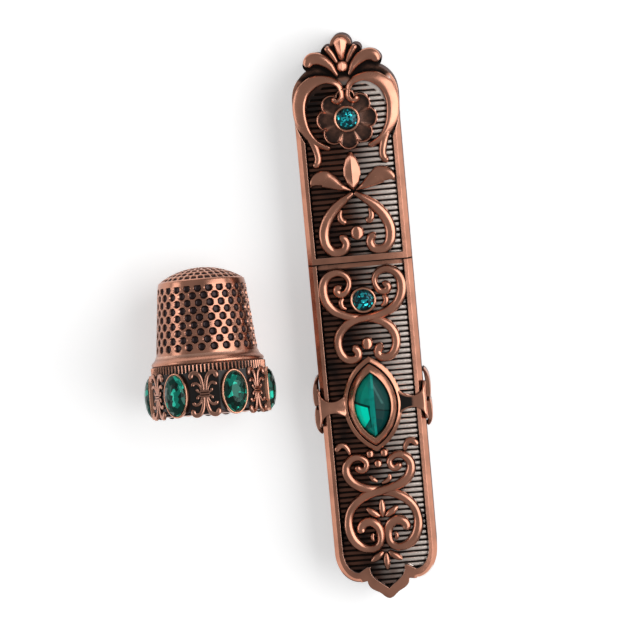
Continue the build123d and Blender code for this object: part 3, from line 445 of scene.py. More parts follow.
# Finial: a centre petal, two slim petals and two broad curled leaves round a bead.
made = [strap("petal", shifted([(0, -4.2), (0, -2.2), (0, -0.35)], TOP),
              [0.4, 0.6, 0.92, 1.12, 0.8], 0.98, KEELED)]
for turned in (list, mirrored):
    made.append(strap("petal", turned(shifted([(0.7, -4.5), (1.45, -3.1), (2.4, -1.75)], TOP)),
                      [0.25, 0.42, 0.5, 0.5], 0.85))
    made.append(strap("petal", turned(shifted(
        [(0.85, -6.5), (1.95, -4.75), (3.5, -3.6), (4.95, -3.6), (5.7, -4.75)], TOP)),
        [0.25, 0.62, 0.92, 1.02, 0.72], 0.95))
finished(joined("finial_palmette_cast", made), scroll_finish, "cap",
         "finial_palmette")
bead = strap("finial_bead_cast", shifted([(0, -5.95), (0, -5), (0, -4.05)], TOP),
             [0.78, 0.92, 0.95, 0.92, 0.78], 1.15, KEELED)
finished(bead, scroll_finish, "cap", "finial_bead")

# Bud and spreading leaves over the heart; the leaves are fuller on their upper side.
bud = strap("bud_leaf_cast", shifted([(0, 17.75), (0, 15.1), (0, 11.4)], JOINT),
            [0.12, 0.95, 1.36, 1.42, 1.05, 0.12], 0.95, KEELED)
finished(bud, scroll_finish, "cap", "bud_leaf")
SPREAD = [(0.3, 11.45), (2.1, 12.3), (3.6, 13.2), (4.9, 13.75), (6.2, 13.3), (6.85, 12.4)]
leaves = both_sides("side_leaves_cast", shifted(SPREAD, JOINT), [0.1, 0.55, 1.05, 1.42, 1.0, 0.12],
                    0.9)
finished(leaves, scroll_finish, "cap", "side_leaves")

# Heart of two scrolls, with a pair of curls and a bead inside it.
HEART = [(0, 11.15), (1.6, 10.1), (3.2, 8.8), (4.6, 7), (5.3, 5.1), (5.15, 3.2), (4.3, 2.0),
         (3.2, 1.78), (2.25, 2.15), (1.9, 3.1), (2.35, 3.9), (3.0, 3.85)]
HEART_HALVES = [0.35, 0.66, 0.84, 0.9, 0.9, 0.86, 0.76, 0.72, 0.78]
for side, turned in (("right", list), ("left", mirrored)):
    name = "heart_scroll_" + side
    heart = strap(name + "_cast", turned(shifted(HEART, JOINT)), HEART_HALVES, 0.95)
    finished(heart, scroll_finish, "cap", name)
curls = both_sides("heart_curls_cast",
                   shifted([(2.2, 8.6), (2.55, 7.5), (2.25, 6.7), (1.45, 6.45)], JOINT),
                   [0.2, 0.48, 0.56, 0.5], 0.8)
finished(curls, scroll_finish, "cap", "heart_curls")
bead = strap("heart_bead_cast", shifted([(0, 3.5), (0, 4.7), (0, 5.9)], JOINT),
             [0.9, 1.05, 1.12, 1.05, 0.9], 1.05)
finished(bead, scroll_finish, "cap", "heart_bead")

# Upper ornament of the body: two S scrolls that cross just under the round stone.
GEM_Y = JOINT - 6.1
UPPER_S = [(3.3, 1.9), (3.75, 2.15), (4.1, 1.75), (3.8, 1.2), (3.2, 1.1), (2.55, 1.5),
           (2.1, 2.4), (2.1, 3.4), (2.8, 4.3), (3.95, 4.65), (5.3, 4.2), (6.15, 3), (6.3, 1.4),
           (5.85, -0.2), (4.8, -1.5), (3.3, -2.3), (1.7, -2.75), (0, -2.95), (-1.85, -3.3),
           (-3.4, -4.2), (-4.4, -5.5), (-4.7, -6.9), (-4.4, -8.3), (-3.65, -9.3),
           (-2.65, -9.6), (-1.8, -9.3), (-1.55, -8.5), (-1.95, -7.85), (-2.6, -7.6)]
UPPER_HALVES = [0.74, 0.6, 0.5, 0.6, 0.74, 0.84, 0.82, 0.74, 0.68, 0.66, 0.74, 0.78, 0.76,
                0.72, 0.7, 0.74]


def rises_over(x, y):
    """The upper strap swells where it crosses the other, on the middle line."""
    return 1 + 0.16 * math.exp(-(x / 1.7) ** 2)


def dips_under(x, y):
    """The lower strap sinks where the other crosses it."""
    return 1 - 0.42 * math.exp(-(x / 1.3) ** 2)


over = strap("upper_scroll_over_cast", shifted(UPPER_S, GEM_Y), UPPER_HALVES, 0.95,
             swell=rises_over)
finished(over, scroll_finish, "case", "upper_scroll_over")
under = strap("upper_scroll_under_cast", mirrored(shifted(UPPER_S, GEM_Y)), UPPER_HALVES, 0.93,
              swell=dips_under)
finished(under, scroll_finish, "case", "upper_scroll_under")
leaves = both_sides("gem_leaves_cast",
                    shifted([(3.1, 0.55), (3.6, -0.15), (3.4, -0.9), (2.7, -1.35)], GEM_Y),
                    [0.3, 0.5, 0.46, 0.2], 0.8)
finished(leaves, scroll_finish, "case", "gem_leaves")
bead = strap("body_drop_bead_cast", shifted([(0, -8.15), (0, -7.1), (0, -6.05)], GEM_Y),
             [0.75, 0.88, 0.95, 0.88, 0.75], 1.0)
finished(bead, scroll_finish, "case", "body_drop_bead")

# Lower ornament: two larger S scrolls that close into a round cartouche at the foot.
LOWER_S = [(3.35, 22.35), (3.25, 21.65), (2.55, 21.35), (1.95, 21.9), (1.95, 22.8),
           (2.9, 23.5), (4.2, 23.35), (5.15, 22.3), (5.2, 20.9), (4.5, 19.6), (3.25, 18.7),
           (1.8, 18.2), (0, 17.8), (-2.1, 17.3), (-3.85, 16.3), (-5.15, 14.8), (-5.65, 13),
           (-5.5, 11.2), (-4.75, 9.6), (-3.45, 8.55), (-1.95, 8.35), (-0.9, 9.1),
           (-0.58, 10.5), (-0.9, 11.9), (-1.9, 12.75), (-3, 12.65), (-3.65, 11.9),
           (-3.5, 11.0)]
LOWER_HALVES = [0.62, 0.54, 0.58, 0.72, 0.8, 0.78, 0.72, 0.74, 0.78, 0.74, 0.74, 0.84, 0.82,
                0.64, 0.62, 0.76, 0.8, 0.74]
over = strap("lower_scroll_over_cast", shifted(LOWER_S, TIP), LOWER_HALVES, 0.95,
             swell=rises_over)
finished(over, scroll_finish, "case", "lower_scroll_over")
under = strap("lower_scroll_under_cast", mirrored(shifted(LOWER_S, TIP)), LOWER_HALVES, 0.93,
              swell=dips_under)
finished(under, scroll_finish, "case", "lower_scroll_under")

# Small castings round the lower scrolls: hooks, crescents, beads, tendrils and petals.
hooks = both_sides("hook_curls_cast",
                   shifted([(4.4, 24.0), (4.65, 24.9), (5.15, 25.6), (5.85, 25.65),
                            (6.35, 25.15), (6.2, 24.65)], TIP),
                   [0.22, 0.4, 0.46, 0.5, 0.56, 0.6], 0.8)
finished(hooks, scroll_finish, "case", "hook_curls")
crescents = both_sides("inner_crescents_cast",
                       shifted([(1.7, 10.9), (2.0, 10.2), (1.75, 9.45)], TIP),
                       [0.22, 0.34, 0.34, 0.22], 0.7)
finished(crescents, scroll_finish, "case", "inner_crescents")
beads = joined("three_beads_cast", [
    strap("bead", shifted([(x, y - 0.72), (x, y), (x, y + 0.72)], TIP),
          [0.55, 0.64, 0.68, 0.64, 0.55], 0.85)
    for x, y in ((-1.15, 24.0), (1.15, 24.0), (0, 22.3))])
finished(beads, scroll_finish, "case", "three_beads")
tendrils = joined("tendrils_cast", [
    strap("tendril", shifted([(1.5, 20.5), (1.7, 19.9), (1.25, 19.35), (0.2, 18.95)], TIP),
          [0.22, 0.36, 0.36, 0.2], 0.7),
    strap("tendril", shifted([(-1.55, 20.4), (-1.05, 19.75), (-0.3, 19.25)], TIP),
          [0.22, 0.4, 0.22], 0.7)])
finished(tendrils, scroll_finish, "case", "tendrils")
SLIM = [0.22, 0.5, 0.6, 0.5, 0.22]
petals = [strap("petal", shifted([(0, 13.4), (0, 14.9), (0, 16.45)], TIP), SLIM, 0.76)]
for turned in (list, mirrored):
    petals.append(strap("petal", turned(shifted([(0.35, 13.5), (1.5, 14.25), (2.6, 15.1)], TIP)),
                        SLIM, 0.76))
finished(joined("cartouche_petals_cast", petals), scroll_finish, "case",
         "cartouche_petals")
petals = [strap("petal", shifted([(0, 7.6), (0, 6.2), (0, 4.65)], TIP), SLIM, 0.76)]
for turned in (list, mirrored):
    petals.append(strap("petal", turned(shifted([(0.35, 7.75), (1.4, 6.95), (2.6, 6.15)], TIP)),
                        SLIM, 0.76))
finished(joined("foot_petals_cast", petals), scroll_finish, "case",
         "foot_petals")

# Cap flower
# Eight dished petals with a raised scalloped rim, cast in copper round the seat of the cap's
# stone; the bath is left dark and glossy in the dishes.
FLOWER_Y = JOINT + 22.9
PETALS = 8
FLOWER_SEAT = 2.0
FLOWER_VALLEY = 3.95
FLOWER_LOBE = 1.0
PETAL_RIM, PETAL_RIB = 0.85, 0.42


def flower(u, v):
    """Point of the flower: u runs round it, v from its seat to its scalloped edge."""
    angle = 2 * math.pi * u
    lobe = abs(math.cos(PETALS * angle / 2))
    edge = FLOWER_VALLEY + FLOWER_LOBE * lobe ** 0.6
    share = min(1.0, v / 0.96)
    out = FLOWER_SEAT + (edge - FLOWER_SEAT) * share
    inward = edge - out
    rim = math.exp(-((inward - 0.24) / 0.2) ** 4)
    rib = math.exp(-(lobe / 0.3) ** 2) * share
    dish = 0.12 + 0.34 * (1 - share) ** 2
    height = max(dish + PETAL_RIB * rib, PETAL_RIM * rim)
    bath = (0.78 - 0.5 * rib) * (1 - rim)
    if v > 0.97:
        height, bath = 0.0, 0.5
    return (out * math.cos(angle), FLOWER_Y + out * math.sin(angle), GROUND + height,
            max(0.0, bath))


dish_finish = antique_copper("dish_copper", darkness=0.15, gloss=0.13, round_over=0.00002, worn=0,
                             bath=(0.05, 0.034, 0.029), bath_metal=1.0)
bloom = wrapped("cap_flower_cast", 256, 56, flower)
finished(bloom, dish_finish, "cap", "cap_flower", angle=60)

# Round stones
# Small round stones of blue-green paste, foiled behind and cut with a ring of kites round a
# table. A plain thin copper collet is rubbed over the edge of each.
collet_finish = antique_copper("setting_copper", depth=0.0005, darkness=0.5, gloss=0.22,
                               body=(0.68, 0.33, 0.22), worn=0)


def foiled_paste(name, deep, middle, glint_colour, cell, share, tilt=0.35):
    """Foiled glass: its back facets are seen as cells that lean the shading, and some are painted
    bright as glints.

    A cell's size is in metres, share is how many of them carry the painted glint, and tilt how
    far each one leans.
    """
    finish = Finish(name)
    cells = finish.node("ShaderNodeTexVoronoi", {"feature": "F1"},
                        {"Vector": finish.place(), "Scale": 1.0 / cell}, output="Color")
    tint = finish.node("ShaderNodeSeparateColor", {}, {0: cells}, output=0)
    second = finish.node("ShaderNodeSeparateColor", {}, {0: cells}, output=1)
    colour = finish.blend(tint.stepped(0.15, 0.6), deep, middle)
    # A share of the cells is painted bright as glints of reflected light.
    colour = finish.blend(second.stepped(1.0 - share, 1.04 - share), colour, glint_colour)
    lean = finish.node("ShaderNodeVectorMath", {"operation": "SUBTRACT"},
                       {0: cells, 1: (0.5, 0.5, 0.5)})
    lean = finish.node("ShaderNodeVectorMath", {"operation": "SCALE"}, {0: lean, "Scale": tilt})
    facing = finish.node("ShaderNodeNewGeometry", output="Normal")
    facing = finish.node("ShaderNodeVectorMath", {"operation": "ADD"}, {0: facing, 1: lean})
    facing = finish.node("ShaderNodeVectorMath", {"operation": "NORMALIZE"}, {0: facing})
    finish.set(Base_Color=colour, Metallic=0.75, Roughness=0.16, Normal=facing,
               Coat_Weight=0.25, Coat_Roughness=0.03)
    return finish.material


teal_finish = foiled_paste("teal_paste", (0.001, 0.018, 0.026), (0.002, 0.075, 0.095),
                           (0.02, 0.60, 0.66), 0.00034, 0.22, tilt=0.5)
for name, gem_y, body in (("cap_round", FLOWER_Y, "cap"), ("body_round", GEM_Y, "case")):
    def collet(u, v):
        levels = [(2.1, 0.0), (2.1, 0.7), (2.08, 0.95), (2.0, 1.1), (1.88, 1.15), (1.76, 1.1),
                  (1.68, 0.96), (1.65, 0.7), (1.65, 0.0)]
        radius, height = levels[round(v * (len(levels) - 1))]
        a = 2 * math.pi * u
        return (radius * math.cos(a), gem_y + radius * math.sin(a), GROUND + height)

    def stone(u, v):
        levels = [(1.66, 0.1), (1.66, 0.82), (1.2, 1.1), (0.85, 1.2), (0.0, 1.22)]
        row = round(v * (len(levels) - 1))
        radius, height = levels[row]
        a = 2 * math.pi * (u + (row % 2) / 32)
        return (radius * math.cos(a), gem_y + radius * math.sin(a), GROUND + height)

    finished(wrapped(name + "_collet", 64, 8, collet), collet_finish, body,
             name + "_bezel", angle=40)
    finished(wrapped(name + "_stone", 16, 4, stone), teal_finish, body,
             name + "_gem", angle=1)

# Long stone
# Pointed oval of emerald paste in a copper setting: a wide sloping flange, a dark step and a
# heavy collet that leans in over the stone. The setting is riveted to the band.
LONG_Y = JOINT - 23.1


def pointed_oval(u, length, width):
    """Place on a pointed oval of two equal arcs, u running round it from its top."""
    tip, half = length / 2, width / 2
    radius = (tip * tip + half * half) / (2 * half)
    swing = math.asin(tip / radius)
    side, share = (1, 2 * u) if u < 0.5 else (-1, 2 * u - 1)
    angle = (swing - 2 * swing * share) * side
    return side * (radius * math.cos(angle) - (radius - half)), radius * math.sin(angle)


def setting(u, v):
    """Flange, step and collet of the long stone, from the outside in.

    Each level holds its length, width, height and bath.
    """
    levels = [(15.6, 9.5, 0.0, 0.8), (15.6, 9.5, 0.35, 0.2), (15.5, 9.42, 0.52, 0),
              (15.2, 9.2, 0.62, 0), (14.3, 8.5, 0.82, 0), (13.95, 8.25, 0.86, 0),
              (13.8, 8.12, 0.8, 0.5), (13.65, 8.0, 0.6, 1), (13.45, 7.85, 0.6, 1),
              (13.38, 7.78, 0.8, 0.5), (13.3, 7.72, 0.98, 0), (13.1, 7.58, 1.1, 0),
              (11.5, 6.42, 1.58, 0), (11.1, 6.15, 1.68, 0), (10.85, 5.98, 1.7, 0),
              (10.65, 5.84, 1.62, 0), (10.45, 5.7, 1.4, 0), (10.35, 5.62, 1.15, 0.6),
              (10.2, 5.5, 0.4, 1)]
    length, width, height, bath = levels[round(v * (len(levels) - 1))]
    x, y = pointed_oval(u, length, width)
    return (x, LONG_Y + y, GROUND + height, bath)


flange_finish = antique_copper("flange_copper", body=(0.60, 0.27, 0.175), depth=0.0006,
                               darkness=0.6, gloss=0.22, worn=0)
finished(wrapped("navette_setting", 128, 18, setting), flange_finish, "case",
         "navette_bezel", angle=28)


EMERALD_LEFT = [(0.003, 0.16, 0.13), (0.006, 0.30, 0.22)]
EMERALD_FOOT = (0.002, 0.30, 0.24)
EMERALD_MIDDLE = (0.006, 0.27, 0.22)
# Painted highlight of the lit facet, painted shade of the right half and a painted glint along its
# edge.
EMERALD_LIT = (0.0, 0.95, 0.66)
EMERALD_SHADED_RIGHT = [(0.002, 0.040, 0.038), (0.012, 0.062, 0.056)]
EMERALD_GLINT = (0.05, 0.16, 0.145)
EMERALD_LINE = (0.001, 0.02, 0.018)
EMERALD_NOTCH = (0.001, 0.016, 0.015)
EMERALD_CLOUD = (0.002, 0.05, 0.045)


def emerald_cut():
    """Emerald paste with painted light: teal left half, a facet painted lit, right half painted in
    shade.

    Each facet's edges are distances in millimetres from the middle of the stone.
    """
    finish = Finish("emerald_paste")
    x = finish.along("X")
    y = finish.along("Y") - LONG_Y
    left = 1.0 - x.stepped(-0.45, -0.4)
    middle = (1.0 - left) * (1.0 - x.stepped(0.35, 0.42))
    across = y + x * 0.3
    low = 1.0 - across.stepped(-0.42, -0.36)
    # Facet at the lower left painted lit, a painted highlight.
    lit_facet = left * low * (y - x * 1.6).stepped(-1.15, -1.05)
    crack = left * across.stepped(-0.5, -0.4) * (1.0 - across.stepped(-0.1, 0.05))
    crack = crack + left * (x + 0.1 * y).stepped(-0.85, -0.78) * low
    upper = finish.blend((y * 0.2 + 0.5).stepped(0.0, 1.0), *EMERALD_LEFT)
    lower = (y - x * 0.5).stepped(-3.4, -3.2)
    slope = y + x * 0.25
    notch = slope.stepped(-0.62, -0.52) * (1.0 - slope.stepped(-0.4, -0.28))
    edge = x + y * 0.42
    # Pale line along the upper right edge, a painted glint.
    edge_glint = edge.stepped(1.5, 1.6) * (1.0 - edge.stepped(1.85, 1.95))
    # The right half is painted dark as shade.
    shade = finish.blend(slope.stepped(-0.5, -0.4), *EMERALD_SHADED_RIGHT)
    shade = finish.blend(edge_glint * y.stepped(0.2, 0.3), shade, EMERALD_GLINT)
    shade = finish.blend(notch, shade, EMERALD_NOTCH)
    colour = finish.blend(left, shade, finish.blend(lower, EMERALD_FOOT, upper))
    colour = finish.blend(middle, colour, EMERALD_MIDDLE)
    colour = finish.blend(lit_facet, colour, EMERALD_LIT)
    colour = finish.blend(crack * 0.9, colour, EMERALD_LINE)
    cloud = finish.noise(700.0, 1.0)
    colour = finish.blend(cloud.stepped(0.5, 0.62) * 0.25, colour, EMERALD_CLOUD)
    finish.set(Base_Color=colour, Metallic=0.0, Roughness=0.2, Specular_IOR_Level=0.06,
               Coat_Weight=0.03, Coat_Roughness=0.03)
    return finish.material


def long_stone(u, v):
    """Girdle, broad facets and a raised keel of the pointed stone."""
    levels = [(10.3, 5.6, 0.4), (10.3, 5.6, 1.2), (8.9, 3.9, 1.95), (7.6, 1.0, 2.4),
              (7.2, 0.0001, 2.45)]
    length, width, height = levels[round(v * (len(levels) - 1))]
    x, y = pointed_oval(u, length, width)
    return (x, LONG_Y + y, GROUND + height)


finished(wrapped("navette_stone", 16, 4, long_stone), emerald_cut(), "case",
         "navette_gem", angle=1)

# Band
# Copper strap bent round the case and riveted to the long setting: dished arms that spread
# over the rails, an eyed loop above and below each arm, and a flat run let into the back.
HOOP_HALF = [(4.2, 8.55, 1.9, 0.8), (5.0, 8.7, 1.35, 0.9), (5.8, 8.82, 1.0, 1.0),
             (6.6, 8.86, 0.95, 0.8), (7.3, 8.86, 1.1, 0.42), (7.9, 8.86, 1.55, 0.42),
             (8.4, 8.78, 2.25, 0.4), (8.72, 8.4, 2.95, 0.4), (8.78, 7.7, 3.1, 0.4),
             (8.78, 6.4, 2.5, 0.4), (8.78, 5.0, 1.6, 0.4), (8.78, 3.6, 1.1, 0.4),
             (8.78, 2.2, 0.95, 0.4), (8.78, 1.0, 0.95, 0.4), (8.6, 0.3, 0.95, 0.4),
             (8.0, 0.04, 0.95, 0.4), *[(x, 0.02, 0.95, 0.4) for x in (6.8, 5.2, 3.6, 2.0, 0.7)]]
HOOP_SECTION = [(-1, 1), (-1, 0.25), (-0.96, 0.05), (-0.88, 0), (-0.72, 0.1), (-0.4, 0.2),
                (0, 0.24), (0.4, 0.2), (0.72, 0.1), (0.88, 0), (0.96, 0.05), (1, 0.25),
                (1, 1), (-1, 1)]
HOOP_STEPS = 240
# End of the painted dark reflection in the right arm's dish.
DARK_REFLECTION_END = 7.1
hoop_line, _ = run_through(HOOP_HALF + [(-x, z, half, thick)
                                        for x, z, half, thick in reversed(HOOP_HALF)],
                           HOOP_STEPS)


def hoop(u, v):
    """Point of the bent strap: u runs round its section, v along it from arm to arm.

    Its line holds the distance out, the height, the half-width and the thickness, and a
    painted dark reflection is laid as bath in the dish of the right arm only.
    """
    i = round(v * HOOP_STEPS)
    x, z, half, thick = hoop_line[i]
    a, b = hoop_line[max(i - 1, 0)], hoop_line[min(i + 1, HOOP_STEPS)]
    run = math.hypot(b[0] - a[0], b[1] - a[1])
    side, deep = HOOP_SECTION[round(u * (len(HOOP_SECTION) - 1))]
    if i in (0, HOOP_STEPS):
        side, deep = 0, 0.5
    # Only the right arm's dish is darkened, a painted dark reflection.
    in_dark_reflection = 0 < x < DARK_REFLECTION_END and z > GROUND and abs(side) < 0.85
    bath = min(1.0, DARK_REFLECTION_END - x) if in_dark_reflection else 0.0
    return (x + (b[1] - a[1]) / run * deep * thick, LONG_Y + side * half,
            z + (a[0] - b[0]) / run * deep * thick, bath)


LOOP = [(8.4, 4.65), (8.8, 4.1), (9.03, 3.2), (9.08, 2.1), (9.05, 1.0), (8.9, 0.0)]
LOOP_FOOT, LOOP_RISE = 2.8, 5.8
LOOP_SECTION = [(-1, 0), (-1, 0.95), (-0.7, 1), (0.7, 1), (1, 0.95), (1, 0), (-1, 0)]
made = [wrapped("hoop", len(HOOP_SECTION) - 1, HOOP_STEPS, hoop)]
for turned in (list, mirrored):
    for end in (1, -1):
        made.append(strap("loop", turned([(x, LONG_Y + end * y) for x, y in LOOP]),
                          [0.2, 0.34, 0.42, 0.42, 0.4], LOOP_RISE, LOOP_SECTION, LOOP_FOOT))
band_finish = antique_copper("band_copper", body=(0.66, 0.31, 0.21), darkness=0.5, gloss=0.22,
                             round_over=0.00006, worn=0)
finished(joined("gem_band_bent", made), band_finish, "case", "gem_band",
         angle=40)

# Thimble cup
# Drawn copper cup with a struck wall and a knurled dome, blackened in every pit. It lies on
# its side, so every place on it is turned into the lying position.
MOUTH_X, MOUTH_Y = -25.7, -13.0
WALL_FOOT, WALL_TOP, RIM = 10.05, 20.9, 21.8
FOOT_RADIUS, TOP_RADIUS, RIM_RADIUS = 8.17, 7.1, 6.9
REST_RADIUS, REST_HEIGHT = 9.5, 7.05
REST_GAP = 0.02
SLANT = math.atan((REST_RADIUS - TOP_RADIUS) / (WALL_TOP - REST_HEIGHT))
AXIS_UP = REST_HEIGHT * math.sin(SLANT) + REST_RADIUS * math.cos(SLANT) + REST_GAP
DOME_RISE = 2.2
DOME_SPHERE = (RIM_RADIUS ** 2 + DOME_RISE ** 2) / (2 * DOME_RISE)
ROWS, PITS_ROUND, FIRST_ROW, ROW_PITCH = 9, 25, 11.15, 1.16
PIT_RADIUS, PIT_DEPTH = 0.62, 0.42
PIT_RIM = 1.16
DOME_RINGS = (36, 30, 24, 18, 12, 6)
KNURL_DEPTH = 0.4
WALL_SHARE, BAND_SHARE = 0.74, 0.78


def lying(radius, turn, height):
    """Place on the lying thimble from its radius, its turn in degrees and its height."""
    a = math.radians(turn)
    x, y = radius * math.cos(a), radius * math.sin(a)
    return (MOUTH_X - x, MOUTH_Y + y * math.sin(SLANT) + height * math.cos(SLANT),
            AXIS_UP + y * math.cos(SLANT) - height * math.sin(SLANT))


def pit(far):
    """Depth and bath of a struck pit at a share of its radius from its middle."""
    if far < 1:
        return PIT_DEPTH * (1 - far ** 5), 1.0 if far < 0.88 else 0.5
    if far < PIT_RIM:
        return -0.012 * math.sin(math.pi * (far - 1) / (PIT_RIM - 1)), 0.0
    return 0.0, 0.0


def wall(u, v):
    """Outside of the cup from the collar up: dimpled wall, plain band and knurled dome."""
    turn = u * 360 + 90
    if v < WALL_SHARE:
        share = v / WALL_SHARE
        height = WALL_FOOT + (WALL_TOP - WALL_FOOT) * share
        radius = FOOT_RADIUS + (TOP_RADIUS - FOOT_RADIUS) * share
        sink, bath = 0.0, 0.0
        nearest = round((height - FIRST_ROW) / ROW_PITCH)
        for row in (nearest - 1, nearest, nearest + 1):
            if 0 <= row < ROWS:
                aside = (u * PITS_ROUND - (row % 2) / 2 + 0.5) % 1 - 0.5
                far = math.hypot(aside * 2 * math.pi * radius / PITS_ROUND,
                                 height - FIRST_ROW - row * ROW_PITCH) / PIT_RADIUS
                if far < PIT_RIM:
                    sink, bath = pit(far)
        return (*lying(radius - sink, turn, height), bath)
    if v < BAND_SHARE:
        share = (v - WALL_SHARE) / (BAND_SHARE - WALL_SHARE)
        return lying(TOP_RADIUS - 0.18 * share, turn,
                     WALL_TOP + (RIM - WALL_TOP) * share ** 0.9)
    share = (v - BAND_SHARE) / (1 - BAND_SHARE)
    radius = RIM_RADIUS * (1 - share)
    height = 24 - DOME_SPHERE + math.sqrt(DOME_SPHERE ** 2 - radius ** 2)
    ring = share * (len(DOME_RINGS) + 0.45) - 0.15
    if ring < 0 or int(ring) >= len(DOME_RINGS):
        return lying(radius, turn, height)
    outward = abs(ring % 1 - 0.5) / 0.4
    aside = abs((u * DOME_RINGS[int(ring)] + int(ring) / 2) % 1 - 0.5) / 0.4
    far = (outward ** 4 + aside ** 4) ** 0.25
    if far < 1:
        sunk = height - KNURL_DEPTH * (1 - far ** 4)
        return (*lying(radius, turn, sunk), 1.0 if far < 0.92 else 0.5)
    return lying(radius, turn, height)


def lining(u, v):
    """Skirt under the collar and the smooth inside of the cup, as radius and height."""
    levels = [(8.17, 10.05), (8.2, 9.9), (8.2, 0.55), (7.4, 0.4), (7.35, 10.2), (6.3, 20.9),
              (5.2, 22.0), (3.0, 22.9), (0.0, 23.1)]
    row = round(v * (len(levels) - 1))
    radius, height = levels[row]
    return (*lying(radius, u * 360 + 90, height), 0.7 if row == 2 else 0.1)


cup_finish = antique_copper("cup_copper", body=(0.60, 0.28, 0.19), depth=0.0004, darkness=0.6,
                            gloss=0.22, round_over=0.00003, worn=0, bath=(0.035, 0.022, 0.023),
                            bath_metal=0.8)
cup = joined("thimble_cup_drawn", [wrapped("wall", 375, 250, wall),
                                   wrapped("lining", 100, 8, lining)])
finished(cup, cup_finish, "thimble", "thimble_cup", angle=35)

# Thimble collar
# Cast copper collar soldered round the mouth of the cup: a blackened panelled drum with a
# scalloped foot, a ring of small upright flutes, a rounded ring and a cove.
PANEL_OUT = 8.95
FLUTES = 90


def drum(u, v):
    """Blackened twelve-sided drum whose foot dips under each stone and fleur."""
    turn = u * 360
    dip = 0.3 * abs(math.sin(math.radians(turn * 6))) ** 1.5
    levels = [(8.23, 0.9), (8.75, 0.65), (8.85, 0.75), (8.85, 7.0), (8.85, 7.25), (8.3, 7.3)]
    row = round(v * (len(levels) - 1))
    radius, height = levels[row]
    if row in (1, 2):
        height += dip
    if 0 < row < 5:
        aside = math.radians(((turn + 15) % 30) - 15)
        radius = (PANEL_OUT - (0.12 if row == 1 else 0.02)) / math.cos(aside)
    return (*lying(radius, turn, height), 0.9)


def ring(u, v):
    """Fluted ring, rounded ring and cove over the drum."""
    levels = [(8.3, 7.15), (8.98, 7.15), (9.02, 7.25), (9.02, 8.4), (8.94, 8.5), (8.84, 8.54),
              (8.95, 8.62), (9.03, 8.74), (9.04, 8.9), (8.96, 9.1), (8.76, 9.3), (8.55, 9.5),
              (8.36, 9.75), (8.25, 10.15)]
    row = round(v * (len(levels) - 1))
    radius, height = levels[row]
    bath = 0.0
    if row in (1, 2, 3):
        wave = math.cos(u * FLUTES * 2 * math.pi)
        radius += 0.16 * wave
        bath = 0.45 * (1 - wave)
    if row == 5 or row > 10:
        bath = 0.4
    return (*lying(radius, u * 360, height), bath)


collar_finish = antique_copper("collar_copper", depth=0.0006, darkness=0.8, gloss=0.27,
                               round_over=0.00004)
collar = joined("thimble_collar_cast", [wrapped("drum", 360, 5, drum),
                                        wrapped("ring", 720, 13, ring)])
finished(collar, collar_finish, "thimble", "thimble_collar", angle=38)


def on_panel(turn, middle=3.75):
    """Turn a flat place (across, up, out) into a place on the panel at that turn."""
    def spot(point):
        across, up, rise = point
        radius = math.hypot(PANEL_OUT + rise, across)
        aside = math.degrees(math.atan2(across, PANEL_OUT + rise))
        return lying(radius, turn + aside, middle + up)
    return spot


# Thimble stones
# Six ovals of emerald paste, cut all over with small facets, each held under a thin rolled
# copper rim on its own panel.
gem_finish = foiled_paste("emerald_oval", (0.001, 0.020, 0.014), (0.002, 0.060, 0.042),
                          (0.004, 0.30, 0.21), 0.0009, 0.2, tilt=0.36)
OVAL_WIDE, OVAL_TALL = 2.05, 3.38
GIRDLE = 0.45
rims, stones = [], []
for k in range(6):
    spot = on_panel(k * 60)

    def rolled_rim(u, v):
        a, b = 2 * math.pi * u, 2 * math.pi * v
        out = 0.16 * math.cos(b)
        rise = GIRDLE + 0.2 * math.sin(b)
        return spot(((OVAL_WIDE + 0.06 + out) * math.cos(a), (OVAL_TALL + 0.02 + out) * math.sin(a),
                     rise if math.sin(b) > -0.1 else 0.02))

    def oval(u, v):
        levels = [(1.0, 0.1), (1.0, GIRDLE), (0.93, 0.85), (0.78, 1.2), (0.52, 1.48),
                  (0.24, 1.62), (0.0, 1.64)]
        row = round(v * (len(levels) - 1))
        share, out = levels[row]
        a = 2 * math.pi * (u + (row % 2) / 28)
        return spot((OVAL_WIDE * share * math.cos(a), OVAL_TALL * share * math.sin(a), out))

    rims.append(wrapped("rim", 56, 12, rolled_rim))
    stones.append(wrapped("stone", 14, 6, oval))
finished(joined("thimble_rims", rims), collet_finish, "thimble",
         "thimble_bezels", angle=60)
finished(joined("thimble_stones", stones), gem_finish, "thimble",
         "thimble_gems", angle=1)

# Thimble fleurs
# Double-ended fleurs of copper wire soldered between the stones: outer curls at both ends,
# smaller curls inside them, and a tie of three bands round the middle.
OUTER = [(0.22, 0.15), (0.26, 1.3), (0.5, 2.5), (1.0, 3.2), (1.65, 3.3), (2.0, 2.85),
         (1.75, 2.4)]
INNER = [(0.4, 0.4), (0.62, 1.1), (1.1, 1.65), (1.7, 1.6), (1.85, 1.15)]
LINK = [(0.55, 0.1), (1.1, 0.5), (1.15, 0.9)]
WIRE = [(-1, 0), (-0.97, 0.5), (-0.8, 0.78), (-0.42, 0.95), (0, 1), (0.42, 0.95),
        (0.8, 0.78), (0.97, 0.5), (1, 0)]
fleurs = []
for k in range(6):
    spot = on_panel(k * 60 + 30)
    for side in (-1, 1):
        for end in (-1, 1):
            for points, halves in ((OUTER, [0.26, 0.29, 0.33, 0.38, 0.46]),
                                   (INNER, [0.22, 0.24, 0.27, 0.36]),
                                   (LINK, [0.18, 0.22, 0.27])):
                flat = [(side * x, end * y) for x, y in points]
                fleurs.append(strap("fleur", flat, halves, 0.57, WIRE, 0.0, spot, 0.16))
    for up in (-0.4, 0, 0.4):
        flat = [(-0.85, up), (0, up), (0.85, up)]
        fleurs.append(strap("tie", flat, [0.18, 0.2, 0.18], 0.8, WIRE, 0.0, spot, 0.16))
